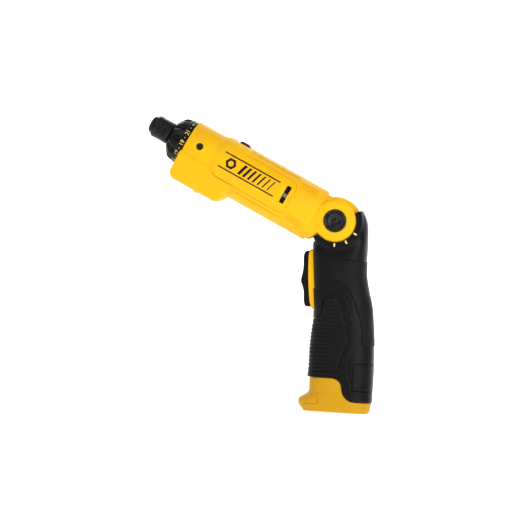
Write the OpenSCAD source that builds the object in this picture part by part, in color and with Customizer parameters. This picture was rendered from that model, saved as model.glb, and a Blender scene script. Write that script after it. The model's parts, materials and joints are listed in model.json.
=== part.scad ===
// Cordless inline screwdriver with a folding handle, a numbered torque collar and a slide-in battery.
// X points forward, Z up and Y to the tool's left. The origin is the centre of the foot's underside.

/* [Handle] */
// Height of the fold axis above the underside of the foot
pivot_height = 132.5; // [125:0.5:165]
// How far the fold axis sits in front of the foot's centre
pivot_forward = 7; // [5:0.5:9]
// Width of the handle across its cheeks
handle_w = 36.4; // [36:0.2:40]
// Wall of the handle shells
handle_wall = 2.2; // [2:0.1:2.6]
// How deep the grip pads sit in the shells
pad_depth = 1; // [0.8:0.1:1.2]

/* [Fold] */
// Elevation of the barrel as the tool is stored
barrel_tilt = 26; // [20:1:26]
// Outer radius of the rim around the fold joint
rim_r = 19.4; // [19:0.1:20.5]
// Radius of the barrel's cheek discs
cheek_r = 14.8; // [14:0.1:15]
// Half the width of the handle's tongue between the cheeks
tongue_half = 7.5; // [7:0.1:9]
// Radius of the fold pin
pin_r = 4; // [3.3:0.1:4.8]
// Radius of the caps over the pin
cap_r = 8; // [7:0.1:9]

/* [Barrel] */
// Outer radius of the motor housing
body_r = 19.2; // [19.2:0.1:21]
// Where the motor housing ends, forward of the fold axis
body_end = 96; // [94:1:116]
// Outer radius of the housing's front cylinder
front_r = 17.4; // [17.4:0.1:18.6]
// Length of the front cylinder
front_l = 21.6; // [20:0.2:24]
// Wall of the barrel shells
barrel_wall = 2.2; // [1.8:0.1:2.2]
// How far the barrel's axis lies below the fold axis
axis_drop = 3.6; // [3:0.1:4]
// Depth of the chin below the barrel's axis
chin_drop = 26.5; // [25:0.5:28]
// How far the chin's sides spread where they meet the barrel
chin_flank = 2.2; // [1:0.1:2.4]

/* [Drive] */
// Outer radius of the motor can
motor_r = 14; // [11.5:0.1:14]
// Length of the motor can
motor_l = 36; // [32:1:38]
// Tooth size of the planetary gears, as a module
gear_m = 0.6; // [0.55:0.01:0.6]
// Teeth of a sun gear, a multiple of three
sun_teeth = 12; // [12:3:12]
// Teeth of a planet gear, an even number
planet_teeth = 18; // [18:6:18]
// Face width of a gear
gear_w = 5; // [4:0.5:6]
// Radius of the output spindle in its bush
spindle_r = 4; // [3.4:0.1:4.8]

/* [Chuck and collar] */
// Width across flats of the hex bit socket
hex_af = 6.4; // [6.4:0.05:6.6]
// Depth of the bit socket
hex_depth = 16; // [12:1:18]
// Outer radius of the chuck sleeve
sleeve_r = 7.9; // [7.6:0.1:9]
// Length of the chuck sleeve
sleeve_l = 13.4; // [12:0.2:16]
// Radius of the torque collar at its numbered band
collar_r = 16.3; // [15.8:0.1:17]
// Grip scallops around the collar
scallops = 10; // [8:1:12]

/* [Battery and switch] */
// Diameter of a battery cell
cell_d = 16.5; // [13.7:0.1:17.5]
// Length of a battery cell
cell_l = 50; // [40:1:50]
// Height of the foot's base below its notch for the shells
foot_base = 7.5; // [6:0.5:9]
// Length of the trigger rocker
trigger_l = 39.2; // [34:0.2:42]
// Width of the trigger rocker
trigger_w = 15.8; // [14:0.2:17]
// Tilt of the trigger rocker to either side
trigger_tilt = 4; // [3:0.5:4]

/* [Hidden] */
$fn = 64;

gap = 0.3;           // between pieces that move past each other
running = 0.05;      // radial clearance of a shaft in its bore
far = 80;            // longer than any cut needs to reach
yellow = [0.98, 0.76, 0.05];
black = [0.12, 0.12, 0.13];
steel = [0.72, 0.73, 0.75];

// Fold joint: the rim runs around the joint between these two angles, measured from straight back
rim_inner = cheek_r + gap;
rim_top = 24;
rim_front = -141;
rim_face = handle_w / 2 + 0.1;
pocket_r = 17.1;
knuckle_r = pocket_r - gap;
knuckle_y = 12.9;
cheek_in = tongue_half + gap;
cheek_out = handle_w / 2 - 1.2;
tongue_r = knuckle_r - 0.4;
plateau_r = 12.4;
plateau_y = handle_w / 2 - 0.2;

// Handle: depth of the grip follows the two cells side by side
case_wall = 1.1;
case_r = cell_d / 2 + case_wall;
cell_pitch = cell_d + 0.4;
grip_depth = 2 * cell_d + 12;
grip_x = -9.2;       // middle of the grip, from the fold axis
front_low = grip_x + grip_depth / 2;
cavity_top = -21;
battery_x = grip_x + 0.4;
foot_top = -0.824 * pivot_height;
foot_low = foot_base - pivot_height;
case_top = foot_low + cell_l + 7;

// Trigger
trigger_x = 11.5;
trigger_z = -41;
bezel_half = trigger_l / 2 + 2.8;
bezel_w = trigger_w + 6.4;
bezel_slope = 3 / 42;   // the bezel leans back toward its lower end
trigger_pin_r = 1.25;
switch_front = 7;
plunger_l = 2;
plunger_z = 11;      // of the two plungers, above and below the pin
rib_x = switch_front + plunger_l + gap + plunger_z * sin(trigger_tilt);

// Barrel: positions along its axis, forward of the fold axis
body_start = 14;
front_end = body_end + front_l;
bore_r = body_r - barrel_wall;
front_bore = front_r - barrel_wall + 0.2;
motor_at = 30;
gears_at = motor_at + motor_l + 1;
ring_teeth = sun_teeth + 2 * planet_teeth;
gear_centre = gear_m * (sun_teeth + planet_teeth) / 2;
ring_pitch = gear_m * ring_teeth / 2;
case_r_out = min(bore_r - 0.3, ring_pitch + 2.2);
carrier_t = 2;
stage_l = gear_w + carrier_t + 1.5;
stage_one = gears_at + 2;
stage_two = stage_one + stage_l;
gears_end = stage_two + stage_l + 0.5;
ring_split = stage_two - 0.5;
planet_pin_r = 1.5;
carrier_r = gear_centre + 2.6;
nose_r = spindle_r + 5;
ball_ring_r = nose_r + 2.4;
bush_r = spindle_r + 3;
bush_l = 5;
collar_at = front_end + 0.4;
band_l = 4;
collar_l = 13;
sleeve_at = collar_at + collar_l + 0.6;
sleeve_end = sleeve_at + sleeve_l;
tip = sleeve_end + 2.7;
nose_end = collar_at + collar_l - 2.5;
hub_r = 5.2;
chin_front = front_end + 0.7;
chin_rear = body_end - 17;
screw_r = 1.4;

// Frames
module at_pivot() { translate([pivot_forward, 0, pivot_height]) children(); }
module on_barrel() { at_pivot() rotate([0, -barrel_tilt, 0]) translate([0, 0, -axis_drop]) children(); }
module along(s) { on_barrel() translate([s, 0, 0]) rotate([0, 90, 0]) children(); }
module across(x, z, y0, y1, r) { translate([x, y0, z]) rotate([-90, 0, 0]) cylinder(h = y1 - y0, r = r); }
module slab(y0, y1) { translate([0, y1, 0]) rotate([90, 0, 0]) linear_extrude(y1 - y0) children(); }
module left_half() { intersection() { children(); translate([-far, 0, -far]) cube([4 * far, far, 2 * far]); } }
module ring(r0, r1, h) { difference() { cylinder(h = h, r = r1); translate([0, 0, -1]) cylinder(h = h + 2, r = r0); } }
function polar(r, a) = [-r * cos(a), r * sin(a)];   // angle from straight back, through up
function arc(c, r, a0, a1, n) = [for (i = [0:n]) c + r * [cos(a0 + (a1 - a0) * i / n), sin(a0 + (a1 - a0) * i / n)]];

// Handle sections: height as a share of the fold axis's height, front, rear, half width, squareness
head_rear = -rim_r - 3.2;
STATIONS = [
    [-0.066, 15.2, head_rear + 5, 0.47, 4.5],
    [-0.015, 15.2, head_rear + 1.6, 0.49, 4.5],
    [0.083, 15.2, head_rear, 0.5, 4],
    [0.151, 15.2, 15.2 - 0.844 * grip_depth, 0.5, 3.4],
    [0.272, 14.2, 14.2 - 0.827 * grip_depth, 0.5, 3],
    [0.34, 13.6, 13.6 - 0.851 * grip_depth, 0.495, 2.8],
    [0.43, 12.6, 12.6 - 0.9 * grip_depth, 0.49, 2.7],
    [0.498, 11.8, 11.8 - 0.913 * grip_depth, 0.49, 2.7],
    [0.574, 12.7, 12.7 - 0.958 * grip_depth, 0.495, 2.7],
    [0.68, front_low, front_low - 0.995 * grip_depth, 0.5, 2.8],
    [0.785, front_low, front_low - 1.005 * grip_depth, 0.505, 2.9],
    [1.02, front_low, front_low - 1.005 * grip_depth, 0.505, 3]
];
RING = 20;           // facets along half a section
function station_z(s) = -s[0] * pivot_height;
function column(k) = [for (s = STATIONS) [station_z(s), s[k]]];
function signed_power(v, p) = sign(v) * pow(abs(v), p);
function section(z, inset, sweep) =
    let (f = lookup(z, column(1)) - inset, r = lookup(z, column(2)) + inset,
         b = lookup(z, column(3)) * handle_w - inset, p = 2 / lookup(z, column(4)),
         n = RING * sweep / 180)
    [for (i = [0:sweep == 360 ? n - 1 : n]) let (t = sweep * i / n)
        [(f + r) / 2 + (f - r) / 2 * signed_power(cos(t), p), b * signed_power(sin(t), p), z]];
function levels(top, low) =
    concat([top], [for (s = STATIONS) if (station_z(s) < top - 0.5 && station_z(s) > low + 0.5) station_z(s)], [low]);

// The grip's form between two heights, drawn in or out by an inset: whole, or its left half
module grip_form(top, low, inset, sweep = 180) {
    zs = levels(top, low);
    rings = [for (z = zs) section(z, inset, sweep)];
    m = len(rings[0]);
    last = len(zs) - 1;
    polyhedron(
        points = [for (r = rings) each r],
        faces = concat(
            [[for (i = [m - 1:-1:0]) i]],
            [[for (i = [0:m - 1]) last * m + i]],
            [for (k = [0:last - 1], i = [0:m - 1], half = [0, 1])
                let (j = (i + 1) % m, a = k * m + i, b = k * m + j, c = (k + 1) * m + j, d = (k + 1) * m + i)
                half == 0 ? [a, b, d] : [b, c, d]]
        ),
        convexity = 6
    );
}

function h(f) = -f * pivot_height;

// Outlines of the two grip pads from the side
module front_pad_outline() {
    polygon([
        [far, h(0.541)], [8, h(0.512)], [5.9, h(0.462)], [5.5, h(0.423)], [4, h(0.402)], [0.3, h(0.395)],
        [-4.4, h(0.397)], [-6.4, h(0.415)], [-8.5, h(0.46)], [-11.8, h(0.529)], [-15, h(0.627)],
        [-14.6, h(0.645)], [-11, h(0.696)], [-9.4, h(0.731)], [-8.9, h(0.774)], [-6.9, h(0.79)], [far, h(0.799)]
    ]);
}
module heel_pad_outline() {
    polygon([
        [2.2, h(0.198)], [1.5, h(0.28)], [0.9, h(0.298)], [-2, h(0.313)], [-6.7, h(0.316)], [-12.5, h(0.353)],
        [-15.7, h(0.405)], [-20.5, h(0.498)], [-23.1, h(0.543)], [-23.1, h(0.614)], [-24.2, h(0.648)],
        [-far, h(0.657)], [-far, h(0.198)]
    ]);
}

// Side view of the foot's joint with the shells: a step down toward the heel with a round at each end
step_x = -11.1;
module foot_notch(grow) {
    g = grow;
    low = foot_low + g;
    polygon(concat(
        [[far, foot_top + g]],
        arc([step_x + 6, foot_top - 6], 6 + g, 90, 180, 8),
        arc([step_x - 10, low + 10], 10 - g, 0, -90, 8),
        [[-far, low], [-far, -2 * pivot_height], [far, -2 * pivot_height]]
    ));
}

// ---- Handle ----

handle_screw_points = [[-17, -27], [-19, -54], [4, case_top + 4.6]];
boss_r = 3.4;
screw_seat = 10.5;

module release_box(grow) {
    translate([-30, 0, h(0.886) - grow]) cube([11.7 + grow, far, -h(0.146) + 2 * grow]);
}

module handle_left_form() {
    difference() {
        union() {
            grip_form(-h(0.066), h(1), 0);
            left_half() across(0, 0, 0, rim_face, rim_r);
        }
        difference() {
            left_half() slab(-1, far)
                polygon(concat([[0, 0]], [for (a = [rim_top:30:rim_front + 360]) polar(far, a)], [polar(far, rim_front + 360)]));
            across(0, 0, -1, tongue_half, tongue_r);
        }
        across(0, 0, tongue_half, knuckle_y + gap, pocket_r);
        across(0, 0, tongue_half, far, rim_inner);
        across(0, 0, -1, far, pin_r + running);
        across(polar(9, -60)[0], polar(9, -60)[1], 1, far, 2.1);
        difference() {
            grip_form(cavity_top, h(1.02), handle_wall);
            intersection() {
                union() {
                    for (p = handle_screw_points) across(p[0], p[1], -1, far, boss_r);
                    translate([-5, 8, trigger_z + 3]) cube([10, far, 3]);
                    translate([-14, 7, case_top + 3.4]) cube([10, far, 3]);
                    translate([trigger_x - 4, trigger_w / 2 + 1, trigger_z - 3]) cube([10, far, 6]);
                }
                grip_form(cavity_top + 1, h(1), handle_wall / 2);
            }
        }
        slab(-1, far) foot_notch(gap);
        trigger_opening(bezel_w / 2 - 1.6, bezel_half - 1.6);
        for (p = handle_screw_points) across(p[0], p[1], -1, screw_seat, screw_r);
        release_box(0);
        difference() {
            slab(-1, far) front_pad_outline();
            grip_form(h(0.3), h(0.9), pad_depth);
        }
        difference() {
            slab(-1, far) heel_pad_outline();
            grip_form(h(0.1), h(0.75), pad_depth);
        }
    }
}

module trigger_opening(half_width, half_length) {
    translate([trigger_x - 8, -half_width, trigger_z - half_length]) cube([far, 2 * half_width, 2 * half_length]);
}

module handle_left() { color(black) at_pivot() handle_left_form(); }

module handle_right() {
    color(black) at_pivot() mirror([0, 1, 0]) difference() {
        handle_left_form();
        for (p = handle_screw_points) {
            across(p[0], p[1], -1, far, screw_r);
            across(p[0], p[1], screw_seat, far, 2 * screw_r);
        }
    }
}

module front_grip() {
    color([0.16, 0.16, 0.17]) at_pivot() difference() {
        intersection() {
            grip_form(h(0.36), h(0.83), -0.3, 360);
            slab(-far, far) front_pad_outline();
        }
        grip_form(h(0.3), h(0.9), pad_depth, 360);
    }
}

module heel_pad() {
    color([0.16, 0.16, 0.17]) at_pivot() difference() {
        intersection() {
            grip_form(h(0.15), h(0.7), -0.3, 360);
            slab(-far, far) heel_pad_outline();
        }
        grip_form(h(0.1), h(0.75), pad_depth, 360);
    }
}

// Rectangle with round corners, centred, in the plane it is drawn in
module round_box(w, l, r) {
    square([w - 2 * r, l], center = true);
    square([w, l - 2 * r], center = true);
    for (x = [-1, 1], y = [-1, 1]) translate([x * (w / 2 - r), y * (l / 2 - r)]) circle(r);
}

// Puts a drawing with width across the tool and length up it into the trigger's front view
module facing_front(x0, x1) {
    translate([x0, 0, trigger_z]) rotate([90, 0, 90]) linear_extrude(x1 - x0) children();
}

module trigger_bezel() {
    front = [15 + bezel_slope * 41, 15];
    color(yellow) at_pivot() difference() {
        intersection() {
            facing_front(trigger_x - 4, 20) round_box(bezel_w - 3.4, 2 * bezel_half - 3.4, 3);
            slab(-far, far) polygon([
                [trigger_x - 4, trigger_z + bezel_half], [front[0], trigger_z + bezel_half],
                [front[1], trigger_z - bezel_half], [trigger_x - 4, trigger_z - bezel_half]
            ]);
        }
        facing_front(0, far) round_box(trigger_w + 1, trigger_l + 1.2, 2.5);
        across(trigger_x, trigger_z, -far, far, trigger_pin_r);
    }
}

module trigger_pin() {
    color(steel) at_pivot() across(trigger_x, trigger_z, -bezel_w / 2 + 2, bezel_w / 2 - 2, trigger_pin_r);
}

// Side view of the rocker: a finger ridge in the middle with a hollow to each side
module trigger() {
    half = trigger_l / 2;
    color([0.09, 0.09, 0.1]) at_pivot() difference() {
        union() {
            intersection() {
                facing_front(trigger_x, far) round_box(trigger_w, trigger_l, 2.2);
                slab(-far, far) translate([0, trigger_z]) polygon([
                    [13, half], [19.4, half], [21.2, half - 2], [21, half - 8], [21.4, 5], [22.3, 0], [22.3, -2.4],
                    [20.9, -6], [19.9, -10], [19.6, -14], [18.9, 2 - half], [17, -half], [13, -half]
                ]);
            }
            across(trigger_x, trigger_z, -trigger_w / 2 + 1, trigger_w / 2 - 1, 3);
            for (side = [-1, 1]) translate([rib_x, -2, trigger_z + side * plunger_z - 1]) cube([4, 4, 2]);
        }
        across(trigger_x, trigger_z, -far, far, trigger_pin_r + running);
    }
}

module switch_module() {
    color([0.2, 0.2, 0.22]) at_pivot() {
        translate([switch_front - 13, -8, trigger_z - 12]) cube([13, 16, 24]);
        for (side = [-1, 1]) translate([switch_front, 0, trigger_z + side * plunger_z])
            rotate([0, 90, 0]) cylinder(h = plunger_l, r = 1.6);
    }
}

module control_board() {
    color([0.1, 0.35, 0.18]) at_pivot() translate([switch_front - 14.6, -9, trigger_z - 14]) cube([1.6, 18, 28]);
}

module terminal_block() {
    color([0.2, 0.2, 0.22]) at_pivot() difference() {
        translate([-17, -7, case_top + 2.4]) cube([16, 14, 5]);
        for (x = [-14, -6]) translate([x, -1.5, case_top + 1]) cube([2, 3, 4]);
    }
}

module screw(l) {
    cylinder(h = 2.2, r = 2 * screw_r - 0.1);
    translate([0, 0, -l]) cylinder(h = l, r = screw_r);
}

module handle_screws() {
    color(steel) at_pivot() for (p = handle_screw_points)
        translate([p[0], -screw_seat, p[1]]) rotate([90, 0, 0]) screw(2 * screw_seat - 2);
}

// Spring-loaded ball that clicks into the plate's holes as the handle folds
module detent_ball() {
    color(steel) at_pivot() translate([polar(9, -60)[0], tongue_half - 2.1, polar(9, -60)[1]]) sphere(2);
}

module coil(r, wire, l, turns) {
    steps = 20;
    sides = 8;
    n = steps * turns;
    function at(i, k) = let (a = 360 * i / steps, b = 360 * k / sides)
        [(r + wire * cos(b)) * cos(a), (r + wire * cos(b)) * sin(a), wire + (l - 2 * wire) * i / n + wire * sin(b)];
    polyhedron(
        points = [for (i = [0:n], k = [0:sides - 1]) at(i, k)],
        faces = concat(
            [[for (k = [0:sides - 1]) k]],
            [[for (k = [sides - 1:-1:0]) n * sides + k]],
            [for (i = [0:n - 1], k = [0:sides - 1], half = [0, 1])
                let (j = (k + 1) % sides, a = i * sides + k, b = i * sides + j, c = a + sides, d = b + sides)
                half == 0 ? [a, c, b] : [b, c, d]]
        ),
        convexity = 10
    );
}

module detent_spring() {
    color(steel) at_pivot() translate([polar(9, -60)[0], 1, polar(9, -60)[1]]) rotate([-90, 0, 0])
        coil(1.4, 0.25, tongue_half - 5.2, 3);
}

module release_form() {
    lip = 1.2;
    difference() {
        intersection() {
            union() {
                translate([-30 + gap, 0, h(0.886) + gap]) cube([11.7 - 2 * gap, far, -h(0.146) - 2 * gap]);
                intersection() {
                    translate([-30 - lip, 0, h(0.886) - lip]) cube([11.7 + 2 * lip, far, -h(0.146) + 2 * lip]);
                    grip_form(h(0.7), h(0.94), handle_wall + gap);
                }
            }
            grip_form(h(0.7), h(0.94), -0.2);
            translate([-29, 0, -far - far]) cube([far, far, 2 * far]);
        }
        grip_form(h(0.69), h(0.95), handle_wall + 1.8);
        translate([-far, -1, -2 * far]) cube([2 * far, 5, 2 * far]);
    }
}

module release_left() { color(black) at_pivot() release_form(); }
module release_right() { color(black) at_pivot() mirror([0, 1, 0]) release_form(); }

// ---- Battery ----

module stadium(r, between) {
    square([between, 2 * r], center = true);
    for (x = [-1, 1]) translate([x * between / 2, 0]) circle(r);
}

module battery_foot() {
    toe = 6.2;
    neck_front = front_low - 1;
    color([0.93, 0.66, 0.1]) at_pivot() difference() {
        union() {
            intersection() {
                grip_form(foot_top + 1, -pivot_height, 0, 360);
                slab(-far, far) intersection() {
                    foot_notch(0);
                    translate([-far, -pivot_height]) square([far + neck_front, far]);
                }
            }
            intersection() {
                translate([0, 0, -pivot_height]) linear_extrude(foot_base + 3)
                    translate([(front_low + toe + head_rear - 7.6) / 2, 0])
                        round_box(front_low + toe - head_rear + 7.6, handle_w + 0.4, 9);
                slab(-far, far) polygon([
                    [-far, foot_low], [-8, foot_low], [neck_front - 1, foot_low + 3], [neck_front + 1, foot_low + 2.2],
                    [front_low + toe - 2, foot_low + 1.2], [front_low + toe, foot_low - 1.6],
                    [front_low + toe - 3.4, -pivot_height], [-far, -pivot_height]
                ]);
            }
        }
        translate([battery_x, 0, foot_low - 4]) linear_extrude(far) stadium(case_r, cell_pitch);
    }
}

module battery_case() {
    bottom = foot_low - 4;
    color(black) at_pivot() translate([battery_x, 0, 0]) difference() {
        translate([0, 0, bottom]) linear_extrude(case_top - bottom) stadium(case_r, cell_pitch);
        for (side = [-1, 1]) translate([side * cell_pitch / 2, 0, bottom + case_wall])
            cylinder(h = cell_l + 1, r = cell_d / 2);
    }
}

module battery_cells() {
    color([0.2, 0.35, 0.6]) at_pivot() for (side = [-1, 1])
        translate([battery_x + side * cell_pitch / 2, 0, foot_low - 4 + case_wall])
            cylinder(h = cell_l, r = cell_d / 2 - 0.1);
}

module battery_contacts() {
    color([0.85, 0.7, 0.35]) at_pivot() for (x = [-13.5, -5.5])
        translate([x, -1, case_top]) cube([1, 2, 2]);
}

// ---- Barrel shells ----

housing_screw_points = [[24, 1], [60, 1], [24, -1], [60, -1]];   // along the barrel, above or below the motor
screw_z = motor_r + 2.2;
chin_screw = [chin_rear + 8, -chin_drop + 5.5];
housing_screw_r = 1;

module turned(points) { rotate([0, 90, 0]) rotate_extrude() polygon(points); }

// Side view of the chin, with round lower corners
module chin_outline(inset) {
    r = 5;
    low = inset - chin_drop;
    polygon(concat(
        arc([chin_rear + inset + r - 1, low + r], r, 180, 270, 8),
        arc([chin_front - inset - r, low + r], r, 270, 360, 8),
        [[chin_front - inset, -8], [chin_rear + inset, -8]]
    ));
}

module chin_section(half, low, flank) {
    polygon(concat(
        [[-half - flank, 0], [-half - flank, -8]],
        arc([-half + 7, low + 7], 7, 180, 270, 8),
        arc([half - 7, low + 7], 7, 270, 360, 8),
        [[half + flank, -8], [half + flank, 0]]
    ));
}

module chin(inset) {
    intersection() {
        slab(-far, far) chin_outline(inset);
        translate([chin_rear - 5, 0, 0]) rotate([90, 0, 90]) linear_extrude(far)
            chin_section(15 - inset, inset - chin_drop, inset > 0 ? 0 : chin_flank);
    }
}

// Cheek, knuckle and neck on one side, drawn around the fold axis
module cheek() {
    translate([0, 0, axis_drop]) {
        across(0, 0, cheek_in, knuckle_y, knuckle_r);
        across(0, 0, cheek_in, cheek_out, cheek_r);
        across(0, 0, cheek_in, plateau_y, plateau_r);
    }
    intersection() {
        translate([0, 0, axis_drop]) slab(cheek_in, cheek_out) polygon([
            [0, 13], [9.6, 14], [body_start + 3, 15.6], [body_start + 3, -22], [body_start - 2, -21],
            [8.9, -17.4], [6.6, -13], [0, -13]
        ]);
        turned([[0, -1], [body_r - 0.4, -1], [body_r - 0.4, body_start + 4], [0, body_start + 4]]);
    }
}

module housing_left_form() {
    difference() {
        union() {
            turned([
                [0, body_start - 2], [body_r - 2.2, body_start - 2], [body_r - 1.6, body_start], [body_r, body_start + 1.2],
                [body_r, body_end - 1.4], [front_r + 0.4, body_end], [front_r, body_end + 1],
                [front_r, front_end - 0.6], [front_r - 0.6, front_end], [0, front_end]
            ]);
            left_half() chin(0);
            cheek();
        }
        translate([0, 0, axis_drop]) {
            across(0, 0, -far, cheek_in, tongue_r + gap);
            translate([-far, -far, -far]) cube([far, far + cheek_in, 2 * far]);
            across(0, 0, -1, far, pin_r);
            across(0, 0, plateau_y - 1, far, cap_r);
            across(0, 0, 0, cheek_in + 1, 12);
        }
        difference() {
            turned([
                [0, body_start + 6], [bore_r, body_start + 6], [bore_r, body_end - 1], [front_bore, body_end + 1],
                [front_bore, front_end + 1], [0, front_end + 1]
            ]);
            for (p = housing_screw_points) across(p[0], p[1] * screw_z, -far, far, 2.1);
        }
        difference() {
            translate([0, -1, 0]) chin(2.2);
            across(chin_screw[0], chin_screw[1], -far, far, 2.6);
            turned([[0, 0], [front_bore + 1, 0], [front_bore + 1, 2 * far], [0, 2 * far]]);
        }
        for (p = housing_screw_points) across(p[0], p[1] * screw_z, -1, 8, housing_screw_r);
        across(chin_screw[0], chin_screw[1], -1, 10, housing_screw_r);
        across(front_end - 9.9, 2.5, front_bore - 3, far, 2.55);
        translate([39 - 1.7, body_r - 6, 2.5 - 6.5]) cube([3.4, far, 13]);
        turned([[0, front_end], [collar_r + gap, front_end], [collar_r + gap, 2 * far], [0, 2 * far]]);
        gauge_block(0, 4, far);
        lens_block(0, far);
    }
}

module gauge_block(inset, half, top) {
    translate([body_end - 18.3 + inset, -half, 0]) cube([8.3 - 2 * inset, 2 * half, top]);
}
module lens_block(inset, low) {
    translate([body_end - 1.5 + inset, -3.5, -low]) cube([4.2 - 2 * inset, 7, low]);
}

module housing_left() { color(yellow) on_barrel() left_half() housing_left_form(); }

module housing_right() {
    color(yellow) on_barrel() mirror([0, 1, 0]) left_half() difference() {
        housing_left_form();
        for (p = housing_screw_points) {
            across(p[0], p[1] * screw_z, -1, far, housing_screw_r);
            across(p[0], p[1] * screw_z, 7, far, 2);
        }
        across(chin_screw[0], chin_screw[1], -1, far, housing_screw_r);
        across(chin_screw[0], chin_screw[1], 11, far, 2);
    }
}

module housing_screws() {
    module from_right(s, z, seat, l) {
        translate([s, -seat, z]) rotate([90, 0, 0]) {
            cylinder(h = 1.6, r = 1.9);
            translate([0, 0, -l]) cylinder(h = l, r = housing_screw_r);
        }
    }
    color(steel) on_barrel() {
        for (p = housing_screw_points) from_right(p[0], p[1] * screw_z, 7, 13);
        from_right(chin_screw[0], chin_screw[1], 11, 19);
        for (side = [-1, 1]) translate([front_end - 9.9, side * (front_bore - 1), 2.5])
            rotate([side * -90, 0, 0]) cylinder(h = 1.6, r = 2.4);
    }
}

module gauge_window() {
    color(black) on_barrel() intersection() {
        gauge_block(0.05, 3.95, far);
        turned([[bore_r + 0.2, 0], [body_r + 0.65, 0], [body_r + 0.65, 2 * far], [bore_r + 0.2, 2 * far]]);
    }
}

module worklight_lens() {
    color(black) on_barrel() intersection() {
        lens_block(0.05, chin_drop + 0.6);
        translate([0, -far, -chin_drop - 1]) cube([2 * far, 2 * far, 4]);
    }
}

module led_board() {
    color([0.1, 0.35, 0.18]) on_barrel()
        translate([body_end - 5, -8, 3 - chin_drop]) cube([16, 16, 1.2]);
}

// ---- Fold joint ----

module pivot_pin() { color(steel) at_pivot() across(0, 0, 1 - plateau_y, plateau_y - 1, pin_r); }

module pivot_cap() {
    translate([0, plateau_y - 1, 0]) rotate([-90, 0, 0]) rotate_extrude() polygon([
        [0, 0], [cap_r, 0], [cap_r, 1.4], [cap_r - 0.5, 1.9], [5.6, 1.9], [5.3, 2.3], [3.9, 2.3], [3.5, 1.3], [0, 1.3]
    ]);
}
module pivot_cap_left() { color(black) at_pivot() pivot_cap(); }
module pivot_cap_right() { color(black) at_pivot() mirror([0, 1, 0]) pivot_cap(); }

module detent_plate() {
    color(steel) at_pivot() rotate([0, -barrel_tilt, 0]) difference() {
        across(0, 0, cheek_in, cheek_in + 1, 12);
        across(0, 0, 0, far, pin_r);
        for (a = [0, 30, 60]) rotate([0, barrel_tilt + a, 0])
            across(polar(9, -60)[0], polar(9, -60)[1], 0, far, 1.6);
    }
}

// ---- Motor ----

module motor_can() {
    color(steel) along(motor_at) difference() {
        cylinder(h = motor_l, r = motor_r);
        translate([0, 0, -1]) cylinder(h = motor_l - 0.5, r = motor_r - 1.2);
        cylinder(h = motor_l + 1, r = 3);
    }
}

module motor_magnets() {
    color([0.3, 0.3, 0.32]) along(motor_at + 7) intersection() {
        ring(motor_r - 3.4, motor_r - 1.2, motor_l - 14);
        for (side = [-1, 1]) translate([-9, side * 10 - 8, 0]) cube([18, 16, motor_l]);
    }
}

module motor_endcap() {
    color(black) along(motor_at - 3) difference() {
        union() {
            cylinder(h = 3, r = motor_r);
            cylinder(h = 6, r = motor_r - 1.2);
        }
        translate([0, 0, -1]) cylinder(h = 9, r = shaft_r + running);
        translate([0, 0, 2.5]) cylinder(h = 9, r = 9.5);
    }
}

shaft_r = 1.6;
commutator_r = 4.6;
module motor_brushes() {
    color([0.15, 0.15, 0.16]) along(motor_at + 1) for (side = [-1, 1])
        translate([-1.5, side * 7 - 2.3, 0]) cube([3, 4.6, 3]);
}

module motor_shaft() { color(steel) along(motor_at - 4.5) cylinder(h = stage_one + gear_w - motor_at + 4, r = shaft_r); }

module armature() {
    color([0.6, 0.45, 0.3]) along(motor_at + 8) difference() {
        cylinder(h = motor_l - 16, r = motor_r - 3.8);
        translate([0, 0, -1]) cylinder(h = motor_l, r = shaft_r);
        for (k = [0:4]) rotate([0, 0, 72 * k]) translate([motor_r - 6, -1, -1]) cube([6, 2, motor_l]);
    }
}

module commutator() { color([0.75, 0.5, 0.3]) along(motor_at) ring(shaft_r, commutator_r, 6); }

// ---- Gears ----

pressure = 25;
addendum = 0.8;
dedendum = 1.05;
slack = 0.05;        // each flank stands back this much at the pitch circle

// Half angle of a tooth at radius r, for a pitch radius and a half thickness there
function flank(r, pitch, half) =
    let (base = pitch * cos(pressure), cosine = min(1, base / max(r, base)), a = acos(cosine))
    half / pitch * 180 / PI + (tan(pressure) * 180 / PI - pressure) - (tan(a) * 180 / PI - a);

module gear_outline(teeth, root, crown, half) {
    pitch = gear_m * teeth / 2;
    radii = [for (i = [0:4]) root + (crown - root) * i / 4];
    polygon([for (k = [0:teeth - 1]) each concat(
        [for (r = radii) r * [cos(360 * k / teeth - flank(r, pitch, half)), sin(360 * k / teeth - flank(r, pitch, half))]],
        [for (i = [4:-1:0]) let (r = radii[i])
            r * [cos(360 * k / teeth + flank(r, pitch, half)), sin(360 * k / teeth + flank(r, pitch, half))]]
    )]);
}

module gear(teeth) {
    pitch = gear_m * teeth / 2;
    gear_outline(teeth, pitch - dedendum * gear_m, pitch + addendum * gear_m, gear_m * PI / 4 - slack);
}

// The space inside a ring gear, with one of its teeth pointing at angle 0
module ring_space(l) {
    rotate([0, 0, 180 / ring_teeth]) linear_extrude(l)
        gear_outline(ring_teeth, ring_pitch - addendum * gear_m, ring_pitch + dedendum * gear_m, gear_m * PI / 4 + slack);
}

module pinion() {
    color(steel) along(stage_one) difference() {
        linear_extrude(gear_w) gear(sun_teeth);
        translate([0, 0, -1]) cylinder(h = gear_w + 2, r = shaft_r);
    }
}

module planet(at, k) {
    color([0.6, 0.6, 0.62]) along(at) rotate([0, 0, 120 * k]) translate([gear_centre, 0, 0]) difference() {
        rotate([0, 0, 180 / planet_teeth]) linear_extrude(gear_w) gear(planet_teeth);
        translate([0, 0, -1]) cylinder(h = gear_w + 2, r = planet_pin_r + running);
    }
}

module first_planet_1() { planet(stage_one, 0); }
module first_planet_2() { planet(stage_one, 1); }
module first_planet_3() { planet(stage_one, 2); }
module second_planet_1() { planet(stage_two, 0); }
module second_planet_2() { planet(stage_two, 1); }
module second_planet_3() { planet(stage_two, 2); }

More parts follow.
